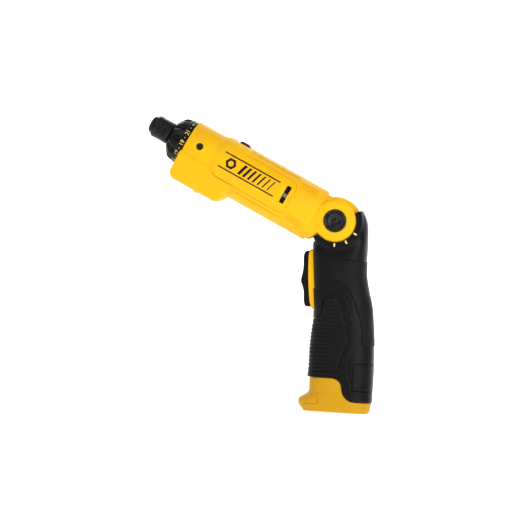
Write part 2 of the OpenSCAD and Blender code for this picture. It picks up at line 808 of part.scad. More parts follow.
// Plate with three pins that reach back into the planets
module carrier(at) {
    color(steel) along(at) {
        translate([0, 0, gear_w + 0.4]) cylinder(h = carrier_t, r = carrier_r);
        for (k = [0:2]) rotate([0, 0, 120 * k]) translate([gear_centre, 0, 0.2])
            cylinder(h = gear_w + 0.3, r = planet_pin_r);
    }
}

module first_carrier() { carrier(stage_one); }
module second_carrier() { carrier(stage_two); }

module second_sun() {
    start = stage_one + gear_w + 0.4 + carrier_t;
    color(steel) along(start) linear_extrude(stage_two + gear_w - start) gear(sun_teeth);
}

// Closed end and fixed ring of the first stage
module gear_case() {
    color([0.55, 0.56, 0.58]) along(gears_at) difference() {
        cylinder(h = ring_split - gears_at, r = case_r_out);
        translate([0, 0, 1.6]) ring_space(far);
        translate([0, 0, -1]) cylinder(h = far, r = 5);
    }
}

// Ring of the second stage, which the clutch holds still or lets slip
module clutch_ring() {
    color([0.6, 0.6, 0.62]) along(ring_split) difference() {
        cylinder(h = gears_end - ring_split, r = case_r_out);
        translate([0, 0, -1]) ring_space(far);
    }
}

// Front plate with seats for the clutch balls, and the nose tube that carries the collar
module gear_nose() {
    color([0.55, 0.56, 0.58]) along(gears_end) difference() {
        union() {
            cylinder(h = 3, r = front_bore - 0.2);
            cylinder(h = nose_end - gears_end, r = nose_r);
        }
        translate([0, 0, -1]) cylinder(h = far, r = spindle_r + 0.6);
        for (k = [0:5]) rotate([0, 0, 60 * k]) translate([ball_ring_r, 0, -1]) cylinder(h = 5, r = 1.7);
        translate([0, 0, nose_end - gears_end - bush_l]) cylinder(h = far, r = bush_r);
    }
}

module clutch_balls() {
    color(steel) along(gears_end + 1.65) for (k = [0:5])
        rotate([0, 0, 60 * k]) translate([ball_ring_r, 0, 0]) sphere(1.6);
}

module clutch_spring() {
    start = gears_end + 3.3;
    color(steel) along(start) coil(ball_ring_r, 0.8, collar_at - 3.3 - start, 5);
}

module clutch_nut() {
    color([0.75, 0.6, 0.35]) along(collar_at - 3.2) ring(nose_r, nose_r + 3.6, 3);
}

module front_bush() {
    color([0.75, 0.6, 0.35]) along(nose_end - bush_l) ring(spindle_r + running, bush_r, bush_l);
}

// ---- Chuck ----

module output_spindle() {
    start = stage_two + gear_w + 0.4 + carrier_t;
    socket = tip - hex_depth;
    color(steel) difference() {
        union() {
            along(start) cylinder(h = nose_end - start + 1, r = spindle_r);
            along(nose_end + 0.5) rotate_extrude() polygon([
                [0, 0], [hub_r, 0], [hub_r, tip - nose_end - 1.1], [hub_r - 0.6, tip - nose_end - 0.5],
                [0, tip - nose_end - 0.5]
            ]);
        }
        along(socket) rotate([0, 0, 30]) cylinder(h = hex_depth + 1, r = hex_af / sqrt(3), $fn = 6);
        along(sleeve_at + 4) rotate([0, 90, 0]) cylinder(h = far, r = 1.3);
        along(sleeve_end + 0.8) ring(hub_r - 0.5, far, 0.8);
    }
}

module chuck_ball() {
    color(steel) along(sleeve_at + 4) translate([hub_r - 1.25, 0, 0]) sphere(1.2);
}

module chuck_clip() { color(steel) along(sleeve_end + 0.8) ring(hub_r - 0.5, hub_r + 0.8, 0.8); }

module chuck_spring() {
    color(steel) along(sleeve_at + 9.4) coil(hub_r + 0.6, 0.3, 2.6, 2);
}

module chuck_sleeve() {
    bore = hub_r + running;
    color([0.1, 0.1, 0.11]) along(sleeve_at) rotate_extrude() polygon([
        [bore, 0], [sleeve_r - 0.8, 0], [sleeve_r, 0.8], [sleeve_r, sleeve_l - 1.6], [sleeve_r - 1.4, sleeve_l],
        [hub_r + 1.4, sleeve_l], [hub_r + 1.4, 6], [bore, 6]
    ]);
}

module torque_collar() {
    color([0.1, 0.1, 0.11]) along(collar_at) difference() {
        rotate_extrude() polygon([
            [nose_r + 0.4, 0], [collar_r, 0], [collar_r, band_l], [collar_r - 0.5, band_l + 0.4],
            [collar_r - 1.4, collar_l - 4], [collar_r - 3.4, collar_l - 2.4], [collar_r - 6, collar_l - 0.6],
            [collar_r - 7, collar_l], [hub_r + 0.4, collar_l], [hub_r + 0.4, collar_l - 2.2], [nose_r + 0.4, collar_l - 2.2]
        ]);
        for (k = [0:scallops - 1]) rotate([0, 0, 360 * k / scallops])
            translate([collar_r + 3.6, 0, band_l + 0.8]) cylinder(h = far, r = 5);
    }
}

handle_left();
handle_right();
front_grip();
heel_pad();
trigger_bezel();
trigger_pin();
switch_module();
control_board();
terminal_block();
handle_screws();
detent_ball();
detent_spring();
trigger();
release_left();
release_right();
battery_foot();
battery_case();
battery_cells();
battery_contacts();
housing_left();
housing_right();
housing_screws();
gauge_window();
worklight_lens();
led_board();
pivot_pin();
pivot_cap_left();
pivot_cap_right();
detent_plate();
motor_can();
motor_magnets();
motor_endcap();
motor_brushes();
motor_shaft();
armature();
commutator();
pinion();
gear_case();
gear_nose();
clutch_ring();
clutch_balls();
clutch_spring();
clutch_nut();
front_bush();
first_carrier();
second_sun();
first_planet_1();
first_planet_2();
first_planet_3();
second_carrier();
second_planet_1();
second_planet_2();
second_planet_3();
output_spindle();
chuck_ball();
chuck_spring();
chuck_clip();
chuck_sleeve();
torque_collar();
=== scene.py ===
import json
import math

import bmesh
import bpy
import numpy as np
from mathutils import Matrix, Vector


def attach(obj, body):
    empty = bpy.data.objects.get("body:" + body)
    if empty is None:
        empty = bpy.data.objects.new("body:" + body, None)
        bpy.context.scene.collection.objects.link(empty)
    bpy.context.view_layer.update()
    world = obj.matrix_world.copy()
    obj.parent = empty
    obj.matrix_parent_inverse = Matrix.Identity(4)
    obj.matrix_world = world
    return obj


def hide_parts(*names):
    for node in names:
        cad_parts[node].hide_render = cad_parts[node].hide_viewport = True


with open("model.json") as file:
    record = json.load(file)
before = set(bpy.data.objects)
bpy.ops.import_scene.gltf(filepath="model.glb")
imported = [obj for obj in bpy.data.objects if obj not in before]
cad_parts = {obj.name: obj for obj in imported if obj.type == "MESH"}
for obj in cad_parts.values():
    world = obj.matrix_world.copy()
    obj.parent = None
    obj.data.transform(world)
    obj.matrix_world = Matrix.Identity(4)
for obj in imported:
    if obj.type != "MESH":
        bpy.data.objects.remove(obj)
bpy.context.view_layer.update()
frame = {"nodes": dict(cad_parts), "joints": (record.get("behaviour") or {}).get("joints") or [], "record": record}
print("frame loaded")

# The fold axis and the barrel's axis come from the joints. Pieces are drawn in millimetres in one of
# three frames, and their meshes are then moved to where the frame says.
joint = {j["name"]: j for j in frame["joints"]}
pivot = Vector(joint["handle_fold"]["pos_m"])
forward = -Vector(joint["torque_setting"]["axis"]).normalized()
upward = forward.cross(Vector((0, 1, 0))).normalized()
onAxis = Vector(joint["torque_setting"]["pos_m"])
barrelOrigin = onAxis - forward * (onAxis - pivot).dot(forward)
millimetre = Matrix.Scale(0.001, 4)
handleFrame = Matrix.Translation(pivot) @ millimetre
barrelFrame = Matrix.Translation(barrelOrigin) @ Matrix((
    (forward.x, 0, upward.x, 0), (0, 1, 0, 0), (forward.z, 0, upward.z, 0), (0, 0, 0, 1))) @ millimetre
alongBarrel = barrelFrame @ Matrix.Rotation(math.radians(90), 4, "Y")


def deselect():
    if bpy.context.object and bpy.context.object.mode != "OBJECT":
        bpy.ops.object.mode_set(mode="OBJECT")
    bpy.ops.object.select_all(action="DESELECT")


def take(obj):
    deselect()
    obj.select_set(True)
    bpy.context.view_layer.objects.active = obj
    return obj


def startEdit(obj):
    take(obj)
    bpy.ops.object.mode_set(mode="EDIT")


def endEdit():
    bpy.ops.object.mode_set(mode="OBJECT")
    return bpy.context.object


def named(obj, name):
    obj.name = name
    obj.data.name = name
    return obj


# Selects the edges of the mesh being edited that pass the test
def pickEdges(test):
    bpy.ops.mesh.select_all(action="DESELECT")
    bpy.ops.mesh.select_mode(type="EDGE")
    mesh = bmesh.from_edit_mesh(bpy.context.object.data)
    for edge in mesh.edges:
        edge.select_set(bool(test(edge.verts[0].co, edge.verts[1].co)))
    bmesh.update_edit_mesh(bpy.context.object.data)


def outward(obj):
    startEdit(obj)
    bpy.ops.mesh.select_all(action="SELECT")
    bpy.ops.mesh.remove_doubles(threshold=0.0005)
    bpy.ops.mesh.normals_make_consistent(inside=False)
    return endEdit()


# A turned solid around the local Z axis: steps of (height, radius). A hollow one closes on its first step.
def turn(name, steps, sides=96, hollow=False):
    deselect()
    height, radius = steps[0]
    bpy.ops.mesh.primitive_circle_add(vertices=sides, radius=radius, fill_type="NOTHING", enter_editmode=True)
    bpy.ops.transform.translate(value=(0, 0, height))
    for nextHeight, nextRadius in steps[1:] + (steps[:1] if hollow else []):
        bpy.ops.mesh.extrude_region_move(TRANSFORM_OT_translate={"value": (0, 0, nextHeight - height)})
        grow = nextRadius / radius
        bpy.ops.transform.resize(value=(grow, grow, 1), center_override=(0, 0, nextHeight))
        height, radius = nextHeight, nextRadius
    bpy.ops.mesh.select_all(action="SELECT")
    if not hollow:
        bpy.ops.mesh.fill_holes(sides=0)
    obj = named(endEdit(), name)
    return outward(obj)


# The same around the barrel's axis: steps of (distance along the barrel, radius)
def turnAlong(name, steps, sides=96, hollow=False):
    obj = turn(name, steps, sides, hollow)
    obj.data.transform(Matrix.Rotation(math.radians(90), 4, "Y"))
    return obj


# The span between two widths on the tool's left, 1, or its right, -1
def onSide(side, inner, outer):
    return sorted((side * inner, side * outer))


# A flat outline in the side view, points of (x, z), drawn out across the tool between two widths
def plate(name, points, low, high):
    deselect()
    bpy.ops.mesh.primitive_circle_add(vertices=len(points), radius=1, fill_type="NGON", enter_editmode=True)
    mesh = bmesh.from_edit_mesh(bpy.context.object.data)
    mesh.verts.ensure_lookup_table()
    for vertex, point in zip(mesh.verts, points):
        vertex.co = (point[0], low, point[1])
    bmesh.update_edit_mesh(bpy.context.object.data)
    bpy.ops.mesh.select_all(action="SELECT")
    bpy.ops.mesh.extrude_region_move(TRANSFORM_OT_translate={"value": (0, high - low, 0)})
    return outward(named(endEdit(), name))


def block(name, low, high):
    deselect()
    middle = [(a + b) / 2 for a, b in zip(low, high)]
    bpy.ops.mesh.primitive_cube_add(size=1, enter_editmode=True)
    bpy.ops.transform.resize(value=[b - a for a, b in zip(low, high)], center_override=(0, 0, 0))
    bpy.ops.transform.translate(value=middle)
    return named(endEdit(), name)


# A round bar across the tool, at (x, z), between two widths
def bar(name, x, z, low, high, radius, sides=64):
    deselect()
    bpy.ops.mesh.primitive_cylinder_add(vertices=sides, radius=radius, depth=high - low, enter_editmode=True)
    bpy.ops.transform.rotate(value=math.radians(90), orient_axis="X", center_override=(0, 0, 0))
    bpy.ops.transform.translate(value=(x, (low + high) / 2, z))
    return named(endEdit(), name)


def combine(obj, other, how, keep=False):
    change = obj.modifiers.new(how.lower(), "BOOLEAN")
    change.operation = how
    change.solver = "MANIFOLD"
    change.object = other
    take(obj)
    bpy.ops.object.modifier_apply(modifier=change.name)
    if not keep:
        bpy.data.objects.remove(other)
    return obj


def cut(obj, *tools):
    for tool in tools:
        combine(obj, tool, "DIFFERENCE")
    return obj


def join(obj, *others):
    for other in others:
        combine(obj, other, "UNION")
    return obj


def both(obj, other):
    return combine(obj, other, "INTERSECT")


def copyOf(obj, name):
    twin = obj.copy()
    twin.data = obj.data.copy()
    bpy.context.scene.collection.objects.link(twin)
    return named(twin, name)


# The same piece on the tool's other side
def mirrored(obj, name):
    twin = copyOf(obj, name)
    twin.data.transform(Matrix.Scale(-1, 4, Vector((0, 1, 0))))
    twin.data.flip_normals()
    return twin


def gather(name, objs):
    take(objs[0])
    for obj in objs[1:]:
        obj.select_set(True)
    bpy.ops.object.join()
    return named(bpy.context.object, name)


def softEdges(obj, width, segments=3, angle=40):
    rounding = obj.modifiers.new("softEdges", "BEVEL")
    rounding.width = width
    rounding.segments = segments
    rounding.limit_method = "ANGLE"
    rounding.angle_limit = math.radians(angle)
    rounding.use_clamp_overlap = False
    rounding.miter_outer = "MITER_ARC"
    take(obj)
    bpy.ops.object.modifier_apply(modifier=rounding.name)
    return obj


# Puts a finished piece into the object: its place goes into the mesh, and it rides on a body
def settle(obj, place, body, material, stands=(), smooth=32):
    obj.data.transform(place)
    take(obj)
    obj.data.materials.clear()
    obj.data.materials.append(material)
    if smooth:
        bpy.ops.object.shade_smooth_by_angle(angle=math.radians(smooth))
    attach(obj, body)
    if stands:
        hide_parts(*stands)
    return obj


def arcPoints(x, z, radius, start, end, count):
    turnBy = math.radians(end - start) / count
    return [(x + radius * math.cos(math.radians(start) + turnBy * i),
             z + radius * math.sin(math.radians(start) + turnBy * i)) for i in range(count + 1)]


def roundedBox(x0, x1, z0, z1, radius, count=6):
    return (arcPoints(x1 - radius, z1 - radius, radius, 0, 90, count)
            + arcPoints(x0 + radius, z1 - radius, radius, 90, 180, count)
            + arcPoints(x0 + radius, z0 + radius, radius, 180, 270, count)
            + arcPoints(x1 - radius, z0 + radius, radius, 270, 360, count))


# Outline of a thin line through points, as wide as a pen
def stroke(points, width):
    left, right = [], []
    for i, (x, z) in enumerate(points):
        before = points[max(i - 1, 0)]
        after = points[min(i + 1, len(points) - 1)]
        dx, dz = after[0] - before[0], after[1] - before[1]
        size = math.hypot(dx, dz)
        nx, nz = -dz / size * width / 2, dx / size * width / 2
        left.append((x + nx, z + nz))
        right.append((x - nx, z - nz))
    return left + right[::-1]


# Closed smooth line through corner points, cut at each corner several times
def smoothLoop(points, rounds=2):
    for _ in range(rounds):
        fresh = []
        for i, (x, z) in enumerate(points):
            nx, nz = points[(i + 1) % len(points)]
            fresh += [(0.75 * x + 0.25 * nx, 0.75 * z + 0.25 * nz),
                      (0.25 * x + 0.75 * nx, 0.25 * z + 0.75 * nz)]
        points = fresh
    return points


# Distance in the side view from an outline, positive inside it
def insideBy(outline, x, z):
    best = np.full(x.shape, 1e9)
    inside = np.zeros(x.shape, bool)
    for i, (ax, az) in enumerate(outline):
        bx, bz = outline[(i + 1) % len(outline)]
        dx, dz = bx - ax, bz - az
        t = np.clip(((x - ax) * dx + (z - az) * dz) / max(dx * dx + dz * dz, 1e-9), 0, 1)
        best = np.minimum(best, np.hypot(x - ax - t * dx, z - az - t * dz))
        if abs(dz) > 1e-9:
            crosses = ((az > z) != (bz > z)) & (x < dx * (z - az) / dz + ax)
            inside ^= crosses
    return np.where(inside, best, -best)


# The same closed outline drawn in by a small distance
def drawnIn(points, inset):
    area = sum(a[0] * b[1] - b[0] * a[1] for a, b in zip(points, points[1:] + points[:1]))
    made = []
    for i, (x, z) in enumerate(points):
        before, after = points[i - 1], points[(i + 1) % len(points)]
        dx, dz = after[0] - before[0], after[1] - before[1]
        size = math.copysign(math.hypot(dx, dz), area)
        made.append((x - dz / size * inset, z + dx / size * inset))
    return made


def ramp(value, start, end):
    t = np.clip((value - start) / (end - start), 0, 1)
    return t * t * (3 - 2 * t)


def startFinish(name):
    made = bpy.data.materials.new(name)
    made.use_nodes = True
    tree = made.node_tree
    shader = next(n for n in tree.nodes if n.type == "BSDF_PRINCIPLED")
    place = tree.nodes.new("ShaderNodeTexCoord")
    return made, tree, shader, place.outputs["Object"]


def noise(tree, place, size, detail=3.0, rough=0.55, stretch=None):
    if stretch:
        mapping = tree.nodes.new("ShaderNodeMapping")
        mapping.inputs["Scale"].default_value = stretch
        tree.links.new(place, mapping.inputs["Vector"])
        place = mapping.outputs["Vector"]
    made = tree.nodes.new("ShaderNodeTexNoise")
    made.inputs["Scale"].default_value = 1 / size
    made.inputs["Detail"].default_value = detail
    made.inputs["Roughness"].default_value = rough
    tree.links.new(place, made.inputs["Vector"])
    return made.outputs["Fac"]


def spread(tree, value, low, high, toLow=0.0, toHigh=1.0):
    made = tree.nodes.new("ShaderNodeMapRange")
    made.inputs["From Min"].default_value = low
    made.inputs["From Max"].default_value = high
    made.inputs["To Min"].default_value = toLow
    made.inputs["To Max"].default_value = toHigh
    tree.links.new(value, made.inputs["Value"])
    return made.outputs["Result"]


def blendColours(tree, amount, first, second):
    made = tree.nodes.new("ShaderNodeMix")
    made.data_type = "RGBA"
    for value, socket in ((first, made.inputs[6]), (second, made.inputs[7])):
        if isinstance(value, tuple):
            socket.default_value = (*value, 1)
        else:
            tree.links.new(value, socket)
    tree.links.new(amount, made.inputs[0])
    return made.outputs[2]


# Where the surface turns a corner within a small radius, and the rounded normal there
def edges(tree, radius):
    rounded = tree.nodes.new("ShaderNodeBevel")
    rounded.samples = 6
    rounded.inputs["Radius"].default_value = radius
    flat = tree.nodes.new("ShaderNodeNewGeometry")
    match = tree.nodes.new("ShaderNodeVectorMath")
    match.operation = "DOT_PRODUCT"
    tree.links.new(rounded.outputs["Normal"], match.inputs[0])
    tree.links.new(flat.outputs["Normal"], match.inputs[1])
    return spread(tree, match.outputs["Value"], 0.995, 0.85), rounded.outputs["Normal"]


# Moulded plastic or rubber: two tones, a moulded grain, and lighter edges that stand for rubbing wear and also
# paint a highlight along every edge
def moulded(name, look):
    made, tree, shader, place = startFinish(name)
    cloud = spread(tree, noise(tree, place, look["cloud"], 3), 0.35, 0.65)
    grain = noise(tree, place, look["grain"], 2, 0.6)
    cornerMask, rounded = edges(tree, look["edge"])
    patchy = spread(tree, noise(tree, place, 0.003, 4), 0.42, 0.68)
    wearAndHighlight = tree.nodes.new("ShaderNodeMath")
    wearAndHighlight.operation = "MULTIPLY"
    tree.links.new(cornerMask, wearAndHighlight.inputs[0])
    tree.links.new(patchy, wearAndHighlight.inputs[1])
    part = tree.nodes.new("ShaderNodeMath")
    part.operation = "MULTIPLY"
    part.inputs[1].default_value = look["wearAndHighlight"]
    tree.links.new(wearAndHighlight.outputs[0], part.inputs[0])
    body = blendColours(tree, cloud, look["colour"], look["second"])
    # Edges take the lighter edge colour: partly rubbing wear, partly a painted highlight on the edges
    tree.links.new(blendColours(tree, part.outputs[0], body, look["edgeWearAndHighlight"]), shader.inputs["Base Color"])
    smudge = noise(tree, place, 0.011, 4, 0.6)
    tree.links.new(spread(tree, smudge, 0.3, 0.7, *look["gloss"]), shader.inputs["Roughness"])
    bump = tree.nodes.new("ShaderNodeBump")
    bump.inputs["Strength"].default_value = look["strength"]
    bump.inputs["Distance"].default_value = look["depth"]
    tree.links.new(grain, bump.inputs["Height"])
    tree.links.new(rounded, bump.inputs["Normal"])
    tree.links.new(bump.outputs["Normal"], shader.inputs["Normal"])
    shader.inputs["Specular IOR Level"].default_value = look["specular"]
    return made


# Metal: long fine machining marks, darker patches and a soft edge
def machined(name, look):
    made, tree, shader, place = startFinish(name)
    streaks = noise(tree, place, look["streak"], 4, 0.6, look["stretch"])
    patches = spread(tree, noise(tree, place, 0.004, 4), 0.35, 0.7)
    cornerMask, rounded = edges(tree, 0.0002)
    body = blendColours(tree, patches, look["colour"], look["second"])
    tree.links.new(blendColours(tree, cornerMask, body, look["bright"]), shader.inputs["Base Color"])
    tree.links.new(spread(tree, streaks, 0.3, 0.7, *look["gloss"]), shader.inputs["Roughness"])
    shader.inputs["Metallic"].default_value = look["metal"]
    bump = tree.nodes.new("ShaderNodeBump")
    bump.inputs["Strength"].default_value = 0.25
    bump.inputs["Distance"].default_value = 0.00003
    tree.links.new(streaks, bump.inputs["Height"])
    tree.links.new(rounded, bump.inputs["Normal"])
    tree.links.new(bump.outputs["Normal"], shader.inputs["Normal"])
    return made


yellowShell = {"colour": (0.92, 0.505, 0.003), "second": (0.88, 0.465, 0.004), "edgeWearAndHighlight": (0.98, 0.66, 0.07),
               "cloud": 0.03, "grain": 0.00034, "strength": 0.22, "depth": 0.00006, "edge": 0.00045,
               "wearAndHighlight": 0.35, "gloss": (0.42, 0.56), "specular": 0.16}
# The black finishes' lighter edge colour is chiefly a painted highlight along edges, with some rubbing wear
blackShell = {"colour": (0.004, 0.0038, 0.0038), "second": (0.006, 0.0055, 0.0055),
              "edgeWearAndHighlight": (0.09, 0.086, 0.083), "cloud": 0.02, "grain": 0.00038, "strength": 0.35,
              "depth": 0.00008, "edge": 0.0005,
              "wearAndHighlight": 0.8, "gloss": (0.34, 0.48), "specular": 0.11}
finish = {
    "yellow_housing": moulded("yellowMouldedShell", yellowShell),
    "foot_yellow": moulded("amberMouldedFoot", dict(
        yellowShell, colour=(0.66, 0.355, 0.007), second=(0.61, 0.32, 0.006), edgeWearAndHighlight=(0.78, 0.46, 0.04))),
    "black_shell": moulded("blackMouldedShell", blackShell),
    "grip_rubber": moulded("softGripRubber", dict(
        blackShell, second=(0.0065, 0.006, 0.006), edgeWearAndHighlight=(0.045, 0.043, 0.042),
        grain=0.00025, strength=0.5, depth=0.00006, gloss=(0.5, 0.66), specular=0.14)),
    "collar_black": moulded("collarSatinBlack", dict(
        blackShell, colour=(0.0038, 0.0038, 0.004), grain=0.0003, strength=0.2, gloss=(0.28, 0.4),
        specular=0.18)),
    "cap_black": moulded("capGlossBlack", dict(
        blackShell, colour=(0.006, 0.006, 0.007), grain=0.0005, strength=0.1, gloss=(0.16, 0.26),
        specular=0.4)),
    "smoked_lens": moulded("smokedLens", dict(
        blackShell, colour=(0.008, 0.008, 0.009), second=(0.014, 0.013, 0.012), strength=0.05,
        gloss=(0.08, 0.16), specular=0.4)),
    "inner_plastic": moulded("innerDarkPlastic", dict(blackShell, gloss=(0.5, 0.62))),
    "carbon": moulded("brushCarbon", dict(blackShell, colour=(0.03, 0.03, 0.03), gloss=(0.6, 0.75))),
    "board": moulded("boardGreenMask", dict(
        blackShell, colour=(0.012, 0.10, 0.035), second=(0.018, 0.13, 0.045), edgeWearAndHighlight=(0.1, 0.3, 0.12),
        gloss=(0.25, 0.4))),
    "sleeve_black": machined("sleeveSatinBlack", {
        "colour": (0.007, 0.007, 0.007), "second": (0.011, 0.011, 0.011), "bright": (0.09, 0.09, 0.095),
        "streak": 0.0006, "stretch": (1, 1, 1), "gloss": (0.3, 0.48), "metal": 0.55}),
    "steel": machined("brightSteel", {
        "colour": (0.56, 0.57, 0.59), "second": (0.44, 0.45, 0.47), "bright": (0.8, 0.8, 0.82),
        "streak": 0.0005, "stretch": (1, 3, 1), "gloss": (0.18, 0.38), "metal": 1.0}),
    "gear_steel": machined("sinteredSteel", {
        "colour": (0.36, 0.36, 0.38), "second": (0.27, 0.27, 0.29), "bright": (0.6, 0.6, 0.62),
        "streak": 0.0004, "stretch": (1, 1, 1), "gloss": (0.35, 0.55), "metal": 1.0}),
    "case_metal": machined("dieCastMetal", {
        "colour": (0.5, 0.51, 0.53), "second": (0.4, 0.41, 0.43), "bright": (0.7, 0.7, 0.72),
        "streak": 0.0008, "stretch": (1, 1, 1), "gloss": (0.4, 0.6), "metal": 1.0}),
    "magnet": machined("magnetDark", {
        "colour": (0.12, 0.12, 0.13), "second": (0.08, 0.08, 0.09), "bright": (0.3, 0.3, 0.32),
        "streak": 0.0006, "stretch": (1, 1, 1), "gloss": (0.45, 0.65), "metal": 0.8}),
    "winding": machined("enamelledWire", {
        "colour": (0.42, 0.16, 0.06), "second": (0.3, 0.1, 0.04), "bright": (0.6, 0.3, 0.15),
        "streak": 0.0005, "stretch": (4, 1, 1), "gloss": (0.2, 0.4), "metal": 0.9}),
    "copper": machined("turnedCopper", {
        "colour": (0.62, 0.28, 0.13), "second": (0.5, 0.2, 0.1), "bright": (0.8, 0.45, 0.25),
        "streak": 0.0005, "stretch": (1, 1, 4), "gloss": (0.2, 0.4), "metal": 1.0}),
    "bronze": machined("sinteredBronze", {
        "colour": (0.46, 0.3, 0.11), "second": (0.36, 0.22, 0.08), "bright": (0.65, 0.48, 0.22),
        "streak": 0.0005, "stretch": (1, 1, 1), "gloss": (0.35, 0.5), "metal": 1.0}),
    "contact": machined("platedContact", {
        "colour": (0.7, 0.48, 0.15), "second": (0.6, 0.4, 0.12), "bright": (0.9, 0.7, 0.35),
        "streak": 0.0004, "stretch": (1, 1, 1), "gloss": (0.15, 0.3), "metal": 1.0}),
    "cell_wrap": machined("cellShrinkWrap", {
        "colour": (0.03, 0.10, 0.32), "second": (0.02, 0.07, 0.25), "bright": (0.1, 0.2, 0.45),
        "streak": 0.001, "stretch": (1, 1, 1), "gloss": (0.2, 0.35), "metal": 0.2}),
}
printInk = moulded("printedBlackInk", dict(
    blackShell, colour=(0.008, 0.008, 0.009), second=(0.014, 0.014, 0.014), strength=0.1, gloss=(0.35, 0.5)))
creamPaint = moulded("creamMarkPaint", dict(
    yellowShell, colour=(0.98, 0.83, 0.30), second=(0.93, 0.77, 0.26), edgeWearAndHighlight=(1.0, 0.93, 0.6),
    strength=0.15, gloss=(0.4, 0.5)))
goldPaint = moulded("numeralGoldPaint", dict(
    yellowShell, colour=(0.97, 0.70, 0.16), second=(0.92, 0.64, 0.13), edgeWearAndHighlight=(1.0, 0.8, 0.3),
    gloss=(0.35, 0.45)))

# Every node that stays gets the finish its slot in the record names
slotOfNode = {part["node"]: part["material_slot"] for part in frame["record"]["subparts"]}
for nodeName, node in frame["nodes"].items():
    node.data.materials.clear()
    node.data.materials.append(finish[slotOfNode[nodeName]])
print("finishes made")


# Sections of the grip, in millimetres from the fold axis: height, front, rear, half width, squareness
grip = {
    "sections": [
        (8.745, 15.2, -17.6, 17.1, 4.5), (1.99, 15.2, -21.0, 17.8, 4.5), (-11.0, 15.2, -22.6, 18.2, 4.0),
        (-20.0, 15.2, -22.8, 18.2, 3.4), (-36.0, 14.2, -23.0, 18.2, 3.0), (-45.0, 13.6, -24.7, 18.0, 2.8),
        (-57.0, 12.6, -27.9, 17.85, 2.7), (-66.0, 11.8, -29.3, 17.85, 2.7), (-76.0, 12.7, -30.4, 18.0, 2.7),
        (-90.1, 13.3, -31.5, 18.2, 2.8), (-104.0, 13.3, -31.9, 18.3, 2.9), (-135.2, 13.3, -31.9, 18.3, 3.0)],
    "span": (8.745, -132.0), "sides": 160, "step": 0.6, "wall": 2.2, "padDepth": 1.0, "rim": 19.4,
    "rimFace": 18.3, "rimInner": 15.1, "pocket": 17.1, "tongue": 7.5,
    "tongueRadius": 16.4, "knuckle": 13.2, "rimStart": 24.0, "rimEnd": 226.5, "parting": 0.12,
    "rimBead": 18.3, "rimDish": 17.8, "rimEndRadius": 2.12, "lip": 0.6, "pinHole": 4.05,
    "triggerOpening": ((3.5, -9.5, -62.8), (60, 9.5, -19.9)), "screws": ((-17, -27), (-19, -54), (4, -63.4)),
    "window": (-45, -18.3, -117.4, -98.05, 2.2), "windowInner": 2.6,
}
# Side outlines of the two pads' recesses and of the raised lip
frontPad = smoothLoop([
    (30, -71.7), (8, -67.8), (5.9, -61.2), (5.5, -56.0), (4, -53.3), (0.3, -52.3), (-4.4, -52.6), (-6.4, -55.0),
    (-8.5, -61.0), (-11.8, -70.1), (-15, -83.1), (-14.6, -85.5), (-11, -92.2), (-9.4, -96.9), (-8.9, -102.6),
    (-6.9, -104.7), (30, -105.9)])
heelPad = smoothLoop([
    (0.6, -26.2), (2.2, -26.2), (2.1, -27.8), (1.5, -37.1), (0.9, -39.5), (-2, -41.5), (-6.7, -41.9),
    (-12.5, -46.8), (-15.7, -53.7), (-20.5, -66.0), (-23.1, -71.9), (-23.1, -81.4), (-24.2, -85.9),
    (-50, -87.1), (-50, -26.2)])
lipEdge = [(40, -47.5), (9, -47.5), (-3, -47.5), (-7.5, -49), (-9.3, -50.6), (-13.4, -60.0), (-17.6, -71.9),
           (-18.9, -80.2), (-18.8, -85.1), (-14.4, -93.8), (-13.5, -99.8), (-14.5, -107), (-18.5, -116.5),
           (-22.3, -118.8), (-31.7, -118.3), (-31.7, -130), (40, -130)]


# A column of the section table at any height, rounded so that no bend shows
def sectionAt(heights, column, sections):
    table = sections[::-1]
    z = np.array([row[0] for row in table])
    value = np.array([row[column] for row in table])
    rise = np.diff(value) / np.diff(z)
    slope = np.concatenate([[rise[0]], (rise[1:] + rise[:-1]) / 2, [rise[-1]]])
    flatSpots = np.concatenate([[False], rise[1:] * rise[:-1] <= 0, [False]])
    slope[flatSpots] = 0
    heights = np.clip(heights, z[0], z[-1])
    k = np.clip(np.searchsorted(z, heights) - 1, 0, len(rise) - 1)
    width = z[k + 1] - z[k]
    t = (heights - z[k]) / width
    return ((2 * t ** 3 - 3 * t ** 2 + 1) * value[k] + (t ** 3 - 2 * t ** 2 + t) * width * slope[k]
            + (3 * t ** 2 - 2 * t ** 3) * value[k + 1] + (t ** 3 - t ** 2) * width * slope[k + 1])


